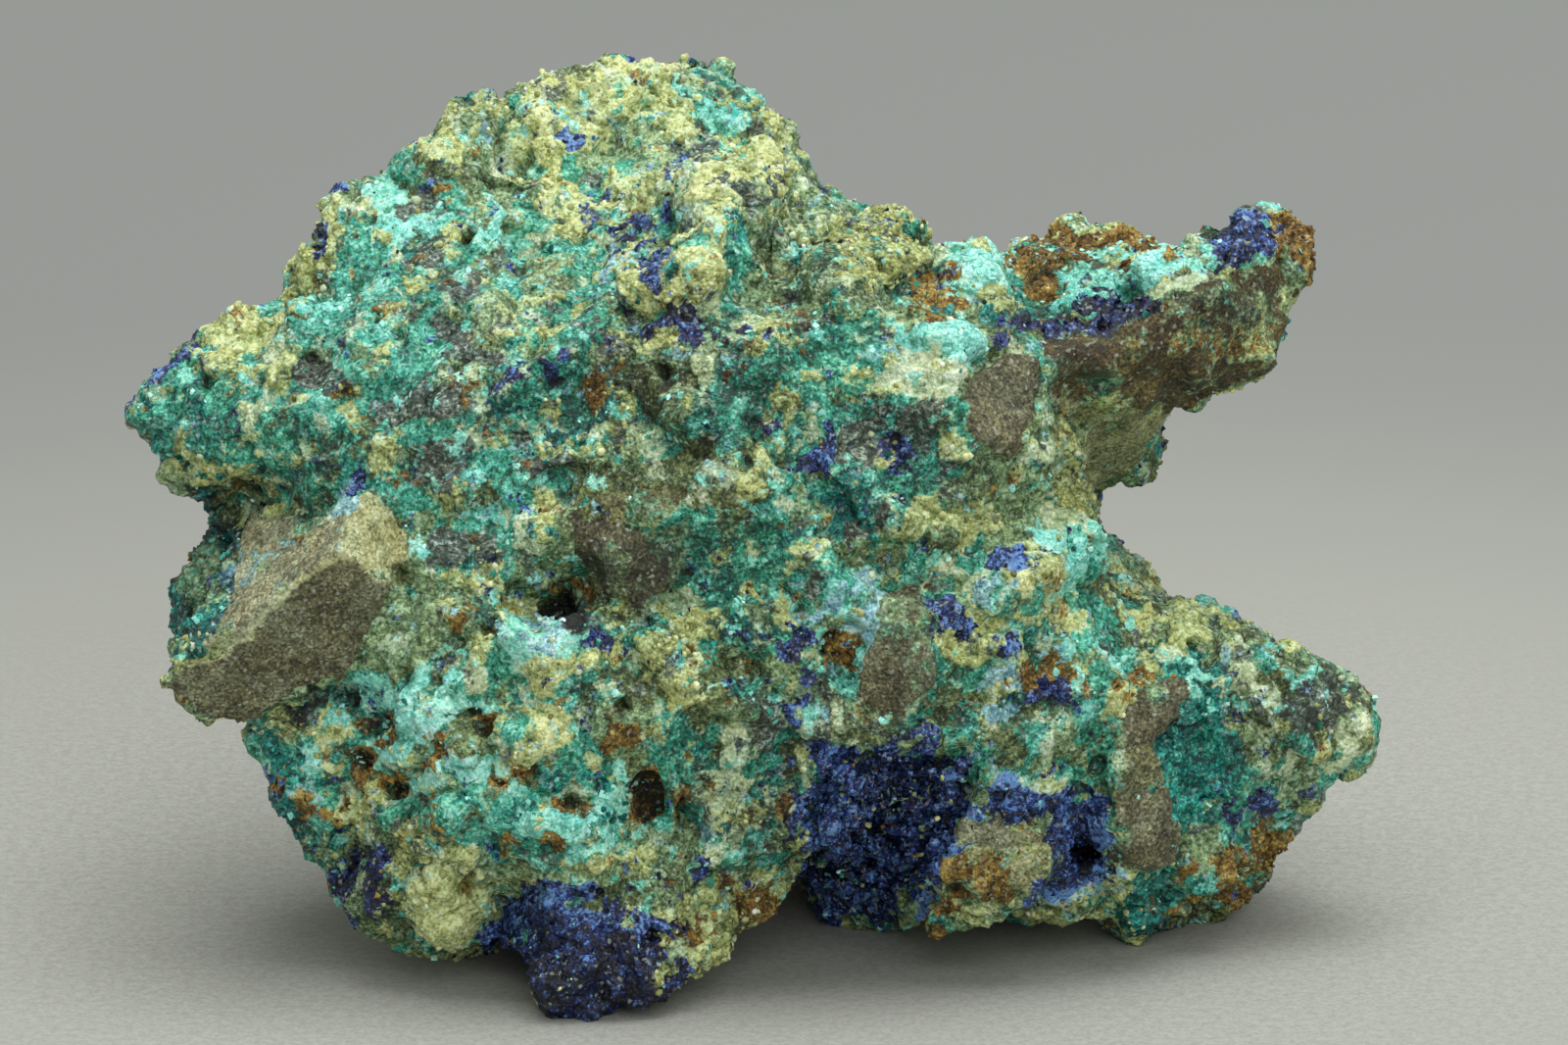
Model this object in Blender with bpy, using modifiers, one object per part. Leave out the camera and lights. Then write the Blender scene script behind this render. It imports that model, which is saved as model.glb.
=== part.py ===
"""Richelsdorfite specimen: a hand-sized lump of broken ore breccia with a druse-lined hollow.

The lump is modelled in face coordinates, in millimetres: across (to the right), up (along the
broad front face) and out (square to the face). The face leans back by FACE_LEAN, so the
coordinates are turned about X into the part's frame, +Z up, where the stone stands on its feet.
"""

import math
import random

import bmesh
import bpy
import numpy as np
from mathutils import Euler, Matrix, Vector, noise
from mathutils.bvhtree import BVHTree
from mathutils.geometry import delaunay_2d_cdt

MM = 0.001
FACE_LEAN = math.radians(15)
BASE_CUT = 2.8  # height of the resting plane above the face frame's origin, in mm
CENTRE_X, CENTRE_Y = -1.6, 10.485  # mm, middle of the finished stone, which is moved onto the origin

BODY_VOXEL = 0.5  # mm, size of the grid that the cage is remeshed on
FINE_VOXEL = 0.3  # mm, size of the grid for the rock with its clasts and crystals
MATRIX_TRIANGLES = 7900
WELD = 0.004  # mm, points nearer than this are one
CHANCE_SEED = 11

# The rim, where the front and back of the stone meet: (across, up, out), clockwise from the left tip.
LEFT_WEDGE_TOP = [
    (-33.7, 30.8, 4.0), (-33.0, 32.0, 4.0), (-31.8, 33.1, 3.5), (-30.5, 34.4, 3.0),
    (-29.3, 34.9, 1.5), (-27.8, 35.4, 1.0), (-26.8, 35.9, 0.5),
]
UPPER_LEFT_SHOULDER = [
    (-25.5, 36.7, -1.0), (-25.3, 38.2, -2.0), (-25.0, 39.3, -2.5), (-24.2, 39.8, -2.5),
    (-23.7, 41.0, -3.0), (-23.0, 41.8, -3.5), (-22.0, 43.0, -4.0), (-20.7, 44.2, -4.5),
    (-18.9, 44.7, -5.0), (-18.4, 45.5, -5.0), (-17.6, 45.9, -5.5), (-16.1, 45.7, -6.5),
    (-15.4, 45.1, -7.0), (-14.4, 45.3, -7.5),
]
SUMMIT = [
    (-13.3, 47.2, -9.0), (-12.4, 47.9, -9.5), (-11.3, 48.1, -10.0), (-10.6, 48.9, -10.5),
    (-9.9, 49.1, -11.0), (-8.5, 48.9, -12.0), (-6.8, 49.1, -12.5), (-4.8, 48.6, -13.0),
    (-3.5, 48.3, -13.0), (-2.8, 47.7, -13.0), (-1.7, 46.4, -13.5), (-0.6, 45.4, -14.0),
    (-0.3, 44.3, -14.0), (1.2, 42.5, -15.0), (2.2, 41.5, -16.0), (3.5, 40.8, -17.0),
    (5.0, 40.7, -18.0), (6.1, 40.4, -18.0), (6.3, 39.1, -16.0),
]
UPPER_ARM = [
    (6.9, 38.0, 0.0), (8.1, 38.3, 0.0), (9.3, 38.3, 0.0), (10.5, 38.5, -2.0),
    (11.3, 39.3, -4.0), (12.1, 40.1, -6.0), (13.5, 40.2, -6.5), (15.0, 39.9, -7.0),
    (16.8, 39.5, -7.0), (18.3, 39.7, -7.0), (20.3, 39.4, -7.0), (21.8, 39.6, -7.0),
    (22.9, 40.3, -7.0), (23.5, 41.1, -6.5), (24.5, 41.4, -6.0), (25.6, 41.6, -5.0),
    (26.9, 40.5, -4.0), (26.5, 39.3, -3.0), (25.9, 37.0, -2.0), (25.4, 34.8, -1.0),
    (24.9, 33.3, -0.5), (22.5, 32.4, 0.0), (21.5, 31.7, 0.0), (20.0, 31.0, -1.0),
    (19.4, 30.0, -2.5), (18.6, 29.1, -4.0), (18.2, 27.9, -5.0), (17.0, 27.4, -6.0),
    (15.9, 26.9, -7.0), (15.5, 25.8, -7.5), (15.2, 24.3, -6.0),
]
LOWER_ARM = [
    (16.1, 22.7, -6.5), (17.8, 21.9, -7.5), (19.5, 21.2, -7.5), (21.5, 20.6, -7.0),
    (22.8, 20.7, -6.5), (24.0, 20.0, -6.5), (25.2, 19.4, -6.0), (26.3, 18.4, -5.5),
    (27.6, 17.7, -5.0), (29.0, 17.4, -4.0), (29.7, 16.3, -3.5), (30.1, 14.8, -3.0),
    (29.5, 13.5, -3.0), (28.3, 12.9, -3.0), (27.0, 12.3, -3.5), (26.8, 11.0, -4.0),
    (26.1, 9.6, -4.5), (25.6, 8.0, -5.5), (24.5, 6.9, -6.5), (23.0, 5.8, -7.0),
    (21.5, 5.0, -7.2), (20.3, 4.8, -7.0), (19.3, 4.2, -5.0), (18.3, 3.5, -3.6),
    (17.5, 3.7, -3.6), (17.0, 5.0, -4.0),
]
UNDERSIDE_RIM = [
    (15.5, 5.4, -5.0), (14.0, 5.5, -5.0), (12.3, 5.5, -4.0), (10.6, 5.3, -2.0),
    (9.6, 4.3, 0.0), (8.3, 3.7, 1.5), (7.0, 3.9, 2.0), (6.6, 5.0, 1.0),
    (6.1, 4.8, -5.0), (4.0, 4.8, -6.0), (2.2, 5.5, -6.5), (1.3, 6.8, -4.0),
    (0.3, 7.0, 1.0), (-1.3, 5.8, 3.5), (-2.5, 4.8, 5.0), (-3.4, 3.1, 7.0),
    (-4.3, 2.4, 8.0), (-5.8, 1.9, 9.0), (-7.5, 1.6, 9.5), (-8.6, 1.1, 10.0),
    (-9.3, -0.1, 10.0), (-10.6, -0.1, 10.0), (-11.8, 1.0, 10.0), (-12.8, 1.8, 9.5),
    (-13.1, 2.8, 8.5), (-14.0, 3.4, 7.0), (-16.0, 3.3, 6.0), (-17.3, 2.7, 5.5),
    (-18.5, 2.9, 5.0), (-19.4, 3.6, 4.5), (-21.1, 4.0, 4.0), (-22.0, 5.0, 3.5),
]
LEFT_SIDE = [
    (-23.4, 6.6, 3.5), (-22.8, 7.6, 4.0), (-23.8, 8.7, 4.0), (-25.1, 9.3, 4.0),
    (-26.0, 10.3, 4.0), (-26.8, 11.8, 4.0), (-26.0, 12.4, 4.5), (-26.3, 13.5, 5.0),
    (-27.0, 13.9, 5.5), (-27.8, 15.5, 9.0), (-29.3, 15.2, 10.0), (-30.0, 15.3, 10.5),
    (-30.8, 16.4, 10.5), (-31.4, 17.5, 10.5), (-30.8, 18.1, 9.0), (-31.0, 19.3, 5.0),
    (-30.9, 20.8, 3.0), (-30.2, 22.8, 2.0), (-29.9, 24.8, 2.0), (-29.2, 25.8, 1.5),
    (-29.5, 26.5, 2.0), (-30.8, 27.5, 3.0), (-31.7, 29.0, 4.0), (-32.5, 29.7, 4.0),
]
RIM = (
    LEFT_WEDGE_TOP + UPPER_LEFT_SHOULDER + SUMMIT + UPPER_ARM
    + LOWER_ARM + UNDERSIDE_RIM + LEFT_SIDE
)

# Ridges, edges and valleys of the front, each a line that the surface bends along.
FRONT_LINES = {
    "wedge_lip": [
        (-28.4, 27.0, 6.0), (-27.2, 27.4, 7.0), (-25.0, 26.4, 8.0), (-22.8, 26.1, 9.5), (-22.9, 27.6, 10.5),
    ],
    "wedge_recess": [(-28.4, 26.0, 1.5), (-26.9, 25.9, 2.0), (-24.8, 25.2, 4.0), (-23.3, 25.0, 8.0)],
    "clast_bed": [(-27.9, 23.0, 3.0), (-25.4, 21.6, 7.0), (-22.4, 21.8, 9.5), (-20.6, 23.4, 9.8)],
    "clast_crown": [(-22.2, 25.6, 8.6), (-21.1, 27.4, 10.4), (-19.4, 26.2, 10.8), (-18.8, 23.0, 11.4)],
    "clast_foot": [
        (-29.8, 17.6, 6.0), (-27.5, 16.6, 6.5), (-24.6, 17.4, 7.5), (-21.5, 19.0, 9.0), (-19.4, 21.4, 11.2),
    ],
    "under_clast": [(-19.6, 19.0, 11.0), (-21.9, 16.0, 9.4), (-25.0, 14.6, 7.4)],
    "middle_ridge": [
        (-25.0, 35.6, 5.5), (-21.0, 34.6, 8.0), (-17.0, 34.4, 9.2), (-13.0, 34.8, 10.0), (-10.0, 36.1, 10.3),
        (-7.5, 37.0, 10.0), (-5.6, 38.0, 9.5),
    ],
    "ridge_valley": [
        (-23.5, 37.0, 2.5), (-20.0, 36.5, 5.0), (-16.5, 36.3, 6.0), (-12.5, 36.3, 6.0), (-9.5, 37.4, 4.5),
        (-7.5, 38.9, 3.5), (-6.3, 40.3, 2.5),
    ],
    "horn_crest": [
        (-5.6, 38.0, 9.5), (-5.4, 40.3, 6.5), (-4.8, 42.5, 5.0), (-3.3, 43.1, 4.5), (-2.2, 42.6, 5.0),
        (-1.3, 41.1, 5.2), (-0.4, 39.9, 5.0), (0.8, 39.4, 4.5), (2.5, 38.9, 4.0), (4.0, 39.5, 3.5),
        (5.3, 39.7, 3.0), (6.3, 39.0, 2.0),
    ],
    "behind_horn": [
        (-6.0, 42.0, -1.5), (-5.0, 43.4, -3.5), (-3.3, 43.9, -5.0), (-1.6, 43.1, -6.0), (-0.6, 41.4, -7.0),
        (0.3, 40.1, -8.0), (2.5, 39.6, -9.0), (3.8, 40.2, -11.0), (5.3, 40.4, -13.0),
    ],
    "front_shoulder": [
        (-5.6, 36.5, 11.0), (-2.0, 35.8, 11.8), (1.5, 35.5, 11.8), (4.3, 34.8, 11.5), (7.3, 34.4, 11.0),
        (10.0, 34.4, 10.0), (12.8, 34.1, 8.5),
    ],
    "arm_edge": [
        (12.8, 34.1, 8.5), (15.5, 35.3, 5.0), (17.5, 36.1, 4.0), (19.0, 37.8, 3.0), (21.3, 38.8, 2.0),
        (23.8, 39.8, 1.0), (25.4, 40.6, -1.5),
    ],
    "arm_under_edge": [(13.8, 32.3, 7.5), (16.5, 31.8, 5.0), (19.0, 31.2, 1.5)],
    "flank_edge": [
        (13.0, 33.0, 9.0), (12.4, 30.5, 10.0), (12.1, 28.5, 10.2), (12.9, 26.0, 9.0), (14.0, 24.0, 6.5),
        (15.2, 23.0, 2.0),
    ],
    "over_gap": [(-15.0, 21.1, 12.0), (-12.0, 21.5, 12.0), (-9.0, 21.3, 12.8), (-5.5, 21.1, 13.2)],
    "under_gap": [(-16.5, 19.5, 12.6), (-13.0, 19.6, 14.2), (-10.5, 19.4, 14.4), (-7.0, 20.0, 13.8)],
    "hollow_rim": [
        (0.0, 7.5, 4.5), (1.0, 9.5, 9.0), (1.8, 12.0, 10.8), (3.5, 13.5, 11.6), (6.5, 13.9, 12.0),
        (9.3, 13.4, 11.5), (10.3, 12.4, 10.6), (9.3, 10.9, 9.8), (8.7, 8.6, 8.8), (7.3, 7.1, 7.5),
        (6.8, 5.6, 4.5),
    ],
    "hollow_back": [
        (2.8, 8.0, 0.5), (3.2, 10.3, 5.0), (5.2, 11.3, 6.2), (7.5, 10.9, 4.6), (7.0, 9.0, 1.2),
        (5.4, 7.2, -2.2),
    ],
    "pocket_rim": [
        (12.0, 11.3, 9.4), (15.0, 12.0, 9.0), (16.3, 11.5, 8.6), (17.0, 9.5, 7.4), (17.1, 7.9, 5.8),
        (15.0, 6.8, 4.0),
    ],
    "saddle": [(9.9, 9.4, 8.4), (13.6, 9.6, 8.0), (13.9, 7.3, 5.6), (11.5, 6.2, 3.6), (8.4, 5.2, 2.5)],
    "tall_clast_bed": [(19.0, 16.8, 5.5), (17.6, 15.0, 7.2), (17.8, 11.0, 6.0), (18.4, 8.0, 3.6)],
    "teal_recess": [(21.4, 16.2, 4.0), (21.2, 13.6, 3.6), (21.8, 11.0, 2.6), (22.0, 8.8, 1.2)],
    "foot_cleft": [(-15.0, 6.5, 8.5), (-14.1, 5.0, 5.0), (-13.7, 4.1, 5.0)],
}

# Further heights of the front: (across, up, out).
FRONT_POINTS = [
    # left wedge and the ledge above it
    (-30.5, 32.0, 5.5), (-29.3, 29.5, 6.5), (-26.5, 30.0, 8.5), (-23.5, 29.0, 10.0), (-27.5, 34.5, 3.0),
    # behind the big clast
    (-28.9, 24.6, 2.0), (-29.8, 20.6, 2.6),
    # upper face, leaning back to the summit
    (-23.0, 40.0, -0.5), (-20.0, 42.0, -2.0), (-17.5, 39.8, 0.5), (-15.0, 42.0, -3.0), (-12.0, 39.8, -1.0),
    (-10.0, 43.0, -6.0), (-8.0, 41.3, -3.0), (-17.0, 44.3, -4.0), (-12.8, 45.3, -8.0), (-8.0, 46.0, -10.0),
    (-5.0, 46.0, -10.0), (-2.8, 44.9, -10.0), (-0.5, 43.6, -12.0), (2.5, 41.0, -14.0), (-10.0, 47.3, -9.5),
    # between the horn and the shoulder
    (-3.3, 39.8, 7.5), (2.5, 37.5, 8.0), (6.5, 37.0, 6.5), (9.3, 37.0, 5.5),
    # upper arm: crusted top, then broken face
    (10.0, 38.0, 3.0), (13.0, 38.9, -2.0), (15.5, 37.8, 1.0), (17.5, 38.9, -2.0), (21.5, 39.5, -2.5),
    (16.0, 33.5, 6.5), (19.5, 34.8, 5.5), (22.5, 37.0, 3.5), (23.5, 34.5, 2.5), (20.5, 32.6, 3.0),
    (17.5, 29.3, -2.0), (15.5, 29.5, 0.0), (15.0, 27.5, -3.0), (13.9, 29.0, 3.0), (14.3, 26.5, 1.0),
    # broad centre
    (-19.0, 31.0, 10.0), (-15.0, 30.5, 12.0), (-10.0, 32.0, 13.0), (-10.0, 28.0, 13.6), (-5.0, 32.0, 13.6),
    (0.0, 31.0, 13.8), (5.0, 31.0, 13.0), (9.3, 32.0, 12.2), (10.0, 28.5, 12.0), (-17.5, 26.0, 11.5),
    (-14.0, 24.0, 12.6), (-9.0, 24.0, 14.0), (-4.0, 26.0, 14.4), (1.0, 25.0, 14.2), (6.5, 25.0, 13.0),
    (11.0, 24.5, 11.0), (-17.5, 21.0, 11.8), (-3.0, 19.5, 13.8), (-3.0, 15.0, 13.4), (-3.0, 9.5, 11.5),
    (1.0, 20.0, 13.4), (10.0, 22.0, 11.8), (12.5, 23.0, 9.5), (11.0, 19.0, 12.0), (14.0, 20.0, 8.0),
    (16.5, 20.0, 4.5), (14.0, 17.0, 10.5), (11.0, 15.0, 12.0), (13.5, 13.5, 9.8), (1.5, 15.5, 12.8),
    (-0.5, 12.0, 11.5), (-1.5, 8.5, 9.5),
    # lower left bulge
    (-19.0, 17.0, 11.5), (-15.0, 16.0, 13.4), (-10.0, 16.0, 14.0), (-22.5, 14.0, 8.5), (-24.5, 13.0, 6.5),
    (-20.0, 12.0, 10.0), (-16.0, 12.0, 12.0), (-11.0, 12.0, 13.2), (-24.0, 10.5, 5.5), (-20.0, 8.5, 8.0),
    (-16.0, 8.5, 10.5), (-12.0, 8.0, 12.2), (-7.5, 9.0, 12.2), (-18.0, 5.0, 8.5), (-21.5, 6.3, 6.5),
    # front foot and the pale foot beside it
    (-12.2, 4.8, 11.5), (-10.0, 4.0, 12.4), (-10.0, 1.5, 11.8), (-7.5, 4.0, 12.0), (-5.5, 5.0, 11.0),
    (-3.0, 5.6, 9.0), (-5.0, 3.2, 10.0),
    # pocket beside the hollow
    (14.9, 9.4, 4.0), (15.4, 8.4, 2.0),
    # lower arm
    (22.5, 18.0, 3.0), (19.0, 19.5, 2.5), (22.5, 19.7, 0.0), (25.5, 17.0, 1.5), (28.0, 16.0, -0.5),
    (25.5, 13.5, 0.5), (24.0, 9.5, -1.5), (22.2, 6.8, -2.0), (19.0, 5.5, 0.0), (18.2, 4.7, -0.5),
]

# Heights of the back and underside, out of sight from the face: (across, up, out).
BACK_POINTS = [
    (-27.5, 31.0, -5.0), (-28.5, 22.0, -4.0), (-25.0, 36.0, -9.0), (-20.0, 41.5, -13.0),
    (-22.5, 26.0, -14.0), (-25.0, 16.0, -7.0), (-12.0, 44.5, -17.5), (-5.0, 45.0, -20.5),
    (-7.5, 37.0, -25.0), (-15.0, 32.0, -22.5), (2.5, 39.0, -23.5), (5.0, 35.5, -24.0),
    (7.5, 36.0, -15.0), (-5.0, 26.0, -28.0), (3.5, 29.5, -26.0), (10.0, 32.0, -18.0),
    (14.0, 37.0, -13.0), (20.0, 37.0, -11.5), (23.5, 38.0, -9.5), (17.5, 31.5, -11.0),
    (12.5, 26.0, -17.5), (16.0, 20.0, -17.0), (22.5, 18.0, -14.0), (27.0, 15.5, -9.0),
    (22.0, 11.0, -13.5), (-17.5, 19.5, -20.5), (-20.0, 11.5, -13.0), (-10.0, 17.0, -27.5),
    (2.5, 17.0, -27.0), (11.0, 17.0, -22.5),
    # arched underside
    (-22.0, 8.5, -3.0), (-17.5, 7.2, -4.0), (-12.0, 5.6, 2.5), (-10.0, 7.6, -8.0),
    (-5.5, 6.0, 1.0), (-2.5, 8.8, -10.0), (10.0, 7.9, -9.5), (16.0, 7.4, -9.5), (20.0, 7.2, -11.0),
]
# Back feet: (across, up, out) of the lowest point of each.
BACK_FEET = [(-16.0, 7.2, -19.5), (7.5, 7.2, -20.0)]
FOOT_FLARE = 4.0  # mm from a back foot's lowest point to the surface around it
FOOT_RISE = 2.6  # mm that this surface stands above the foot
FOOT_SPOKES = 5  # points of that surface round each foot

# Broken-out pits of the front: (across, up, radius, depth).
PITS = [
    (-11.9, 20.6, 1.7, 4.6), (-13.8, 21.2, 1.0, 2.0), (15.3, 8.6, 1.3, 4.0), (-22.0, 13.2, 1.6, 1.3),
    (-19.6, 11.8, 1.2, 1.3),
    (-16.0, 15.6, 1.3, 0.9), (-7.0, 11.2, 1.5, 1.6), (-4.6, 10.6, 0.9, 1.2), (-15.2, 5.0, 1.4, 2.2),
    (-20.9, 16.3, 0.8, 1.3), (12.6, 23.1, 1.1, 1.0), (-5.6, 20.6, 1.3, 1.2), (0.8, 10.0, 0.9, 1.0),
    (7.6, 12.6, 1.6, 1.4), (15.0, 11.2, 0.8, 1.0), (-21.4, 26.0, 0.6, 0.6), (2.8, 19.3, 0.9, 0.8),
]
# Knobs and crusted lumps that stand out of the front: (across, up, radius, height).
KNOBS = [
    (-18.2, 7.0, 1.7, 1.0), (-17.6, 4.5, 1.6, 1.0), (-20.6, 7.8, 1.2, 0.7), (10.2, 37.6, 1.3, 1.4),
    (15.7, 37.6, 1.4, 1.2), (18.2, 38.6, 1.1, 0.9), (22.0, 39.4, 0.9, 0.7), (12.9, 38.6, 1.4, 0.9),
    (-4.6, 37.6, 1.6, 1.0), (-6.2, 38.4, 0.9, 0.7), (5.4, 38.6, 1.6, 0.9), (-13.4, 19.2, 1.2, 0.8),
    (-29.6, 23.9, 1.1, 0.9), (-29.9, 21.9, 1.0, 0.9), (17.8, 6.0, 1.2, 0.8), (-9.0, 2.6, 1.3, 0.8),
    (-11.8, 3.2, 1.2, 0.8), (-1.0, 33.0, 1.4, 0.5), (14.4, 22.4, 1.5, 0.6), (8.6, 34.7, 1.2, 0.6),
]

# Angular clasts set in the breccia, each the convex block around its corners: (across, up, out).
CLASTS = {
    "sandstone_block": [
        (-22.4, 23.8, 13.8), (-20.0, 21.8, 12.2), (-21.4, 19.3, 10.7), (-22.5, 17.3, 9.5),
        (-25.0, 16.5, 9.3), (-26.8, 15.1, 8.6), (-29.8, 15.1, 9.0), (-31.4, 17.0, 10.4),
        (-30.5, 18.1, 11.0), (-21.2, 26.8, 11.2), (-20.2, 26.1, 10.8), (-27.5, 25.6, 4.5),
        (-24.0, 24.5, 0.0), (-20.0, 20.5, 7.0), (-23.5, 16.5, 2.0), (-28.0, 16.5, 3.0), (-30.5, 17.0, 7.0),
    ],
    "dark_clast": [
        (3.6, 17.6, 13.3), (4.2, 20.6, 14.0), (6.2, 21.5, 14.2), (7.5, 20.4, 14.0), (7.4, 17.2, 14.0),
        (6.6, 15.2, 13.0), (4.4, 14.9, 12.6), (3.4, 19.0, 9.0), (8.2, 19.0, 9.0), (5.6, 14.0, 8.0),
    ],
    "sandy_clast": [
        (9.2, 31.2, 11.0), (10.6, 33.0, 10.6), (12.7, 32.9, 9.4), (12.6, 29.4, 10.2), (11.2, 28.2, 11.4),
        (9.6, 29.0, 12.0), (11.0, 34.0, 6.0), (13.2, 31.0, 5.0), (10.5, 28.0, 6.0),
    ],
    "tall_clast": [
        (17.2, 16.3, 7.6), (19.6, 16.6, 7.2), (20.7, 14.0, 6.6), (20.0, 8.0, 4.6), (18.4, 7.2, 4.4),
        (17.2, 8.6, 6.6), (16.3, 12.2, 8.4), (18.0, 17.0, 3.0), (21.0, 12.0, 2.0), (17.0, 8.0, 0.0),
    ],
    "saddle_block": [
        (8.9, 9.9, 9.6), (12.7, 9.9, 9.2), (13.9, 8.8, 8.8), (13.2, 6.6, 8.2), (11.4, 5.4, 7.0),
        (9.3, 4.4, 5.0), (7.3, 4.0, 4.4), (7.8, 7.0, 8.6), (9.0, 9.9, 3.0), (13.6, 8.6, 2.0),
        (11.4, 5.6, 0.0), (8.0, 4.8, 0.5),
    ],
    "horn": [
        (-5.7, 40.6, 5.6), (-4.7, 42.6, 4.6), (-3.2, 43.0, 4.6), (-1.8, 42.4, 5.0), (-0.7, 39.8, 6.0),
        (-3.0, 38.6, 8.6), (-5.4, 38.6, 8.2), (-4.5, 41.0, -1.0), (-1.5, 40.0, -2.0), (-3.0, 37.0, 2.0),
    ],
    "ridge_block": [
        (3.2, 39.2, 3.6), (4.4, 39.6, 3.4), (6.6, 38.6, 2.4), (6.8, 36.8, 5.6), (4.0, 36.6, 8.0),
        (2.4, 37.6, 6.6), (5.0, 37.0, 0.0),
    ],
    "arm_tip": [
        (23.6, 41.2, -3.0), (24.4, 41.8, -4.5), (26.0, 41.2, -4.0), (26.9, 40.4, -3.6), (26.2, 37.6, -1.4),
        (25.5, 34.6, -0.4), (24.9, 33.1, -0.6), (22.6, 32.4, 0.6), (21.6, 36.4, 3.6), (22.6, 38.4, 2.4),
        (22.0, 36.0, -7.0), (24.5, 38.0, -7.5),
    ],
    "arm_slab": [
        (21.8, 38.4, 2.6), (22.6, 36.6, 3.6), (22.4, 32.5, 1.2), (19.9, 31.2, 0.6), (16.2, 32.0, 5.2),
        (14.6, 33.4, 6.8), (17.2, 35.9, 4.8), (19.4, 32.0, -6.0), (21.0, 37.0, -6.0), (16.0, 34.0, -4.0),
    ],
    "arm_root": [
        (14.2, 30.6, 4.0), (16.9, 31.0, 2.0), (19.3, 29.6, -1.6), (18.3, 27.8, -4.6), (15.9, 26.9, -5.6),
        (14.6, 28.0, -0.6), (16.0, 31.0, -6.0), (13.6, 28.4, -6.0),
    ],
    "lower_tip": [
        (26.0, 18.2, -4.4), (27.6, 17.2, 0.2), (29.2, 17.8, -2.6), (30.1, 15.3, -2.8), (29.2, 13.2, -2.4),
        (26.6, 13.2, 1.0), (24.0, 15.4, 3.6), (23.6, 18.6, 2.6), (24.0, 14.0, -7.0), (27.0, 14.6, -7.0),
    ],
    "lower_edge": [
        (20.6, 20.5, -5.0), (22.8, 20.3, -4.0), (24.6, 19.1, -0.6), (23.4, 18.2, 3.0), (20.8, 19.4, 3.2),
        (19.4, 20.8, 0.0), (22.0, 17.0, -6.0),
    ],
    "right_foot": [
        (16.6, 5.6, -3.0), (17.6, 3.9, -3.4), (18.3, 3.2, -4.2), (19.4, 4.2, -4.6), (20.6, 6.0, -4.0),
        (18.8, 6.8, 1.0), (16.4, 7.2, -0.5), (18.0, 6.0, -8.0),
    ],
    "front_toe": [
        (-11.9, 1.2, 10.2), (-10.8, -0.2, 10.2), (-9.3, -0.2, 10.0), (-8.6, 1.0, 10.4), (-10.2, 2.4, 12.4),
        (-11.6, 2.8, 11.8), (-8.4, 2.4, 11.8), (-10.0, 2.4, 6.0),
    ],
    "pale_foot": [
        (-8.2, 1.4, 9.4), (-5.0, 2.0, 8.8), (-3.4, 3.4, 7.4), (-2.0, 5.2, 5.6), (-3.2, 6.2, 8.4),
        (-5.6, 4.8, 11.0), (-8.0, 3.2, 11.8), (-4.0, 6.0, 3.0), (-7.0, 3.0, 5.0),
    ],
    "middle_foot": [
        (1.8, 5.6, -6.4), (2.6, 4.6, -7.4), (6.2, 4.3, -6.6), (7.0, 6.4, -4.0), (4.2, 3.6, -9.0),
        (1.0, 8.6, -11.0), (8.0, 8.6, -12.0), (4.2, 7.6, -3.6), (1.0, 7.4, -4.6),
    ],
    "left_ledge": [
        (-32.8, 31.2, 3.6), (-30.6, 33.1, 3.4), (-27.8, 34.2, 3.6), (-25.4, 32.6, 8.0), (-27.6, 29.4, 8.0),
        (-31.8, 28.6, 5.0), (-33.6, 30.6, 4.4), (-30.0, 31.0, -2.0), (-27.0, 31.0, 0.0),
    ],
}

# Clusters of small pieces grown on the rock: shape, start and end of the line they grow along
# (across, up, out), spread and size in mm, and count.
CLUSTERS = {
    "teal_edge": ("prism", (-28.8, 24.0, 2.6), (-29.6, 20.6, 3.8), 0.8, 2.2, 8),
    "teal_under_block": ("prism", (-27.0, 13.6, 5.6), (-25.2, 11.6, 6.2), 0.9, 1.8, 4),
    "teal_lower_left": ("prism", (-26.2, 11.0, 4.4), (-23.2, 7.6, 4.8), 0.8, 1.9, 6),
    "azurite_knobs": ("prism", (-22.2, 8.4, 6.2), (-21.2, 5.0, 5.0), 0.9, 1.9, 6),
    "azurite_foot": ("prism", (-12.6, 3.0, 11.2), (-7.6, 2.4, 11.6), 1.3, 2.2, 10),
    "arm_crystals": ("prism", (17.0, 38.2, 1.2), (24.0, 40.3, -0.6), 0.7, 1.7, 6),
    "turquoise_lump": ("lump", (9.4, 37.2, 3.6), (11.2, 36.8, 4.4), 0.7, 2.0, 3),
    "azurite_patch": ("prism", (13.2, 17.4, 10.0), (14.6, 16.8, 9.4), 0.6, 1.5, 3),
    "left_spot": ("lump", (-24.2, 39.2, -0.6), (-23.4, 40.0, -1.2), 0.5, 1.8, 2),
    "summit_crumbs": ("lump", (-14.6, 46.2, -8.4), (-2.4, 48.0, -12.0), 1.1, 2.4, 9),
    "shoulder_crumbs": ("lump", (-28.6, 34.4, 3.2), (-24.2, 38.8, -0.5), 1.0, 2.1, 7),
    "cream_lobe": ("lump", (-18.4, 8.2, 9.6), (-17.4, 4.0, 8.6), 0.9, 2.4, 4),
}
SUNK = 0.12  # how deep a small piece's middle sits in the surface, as a share of its size

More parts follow.
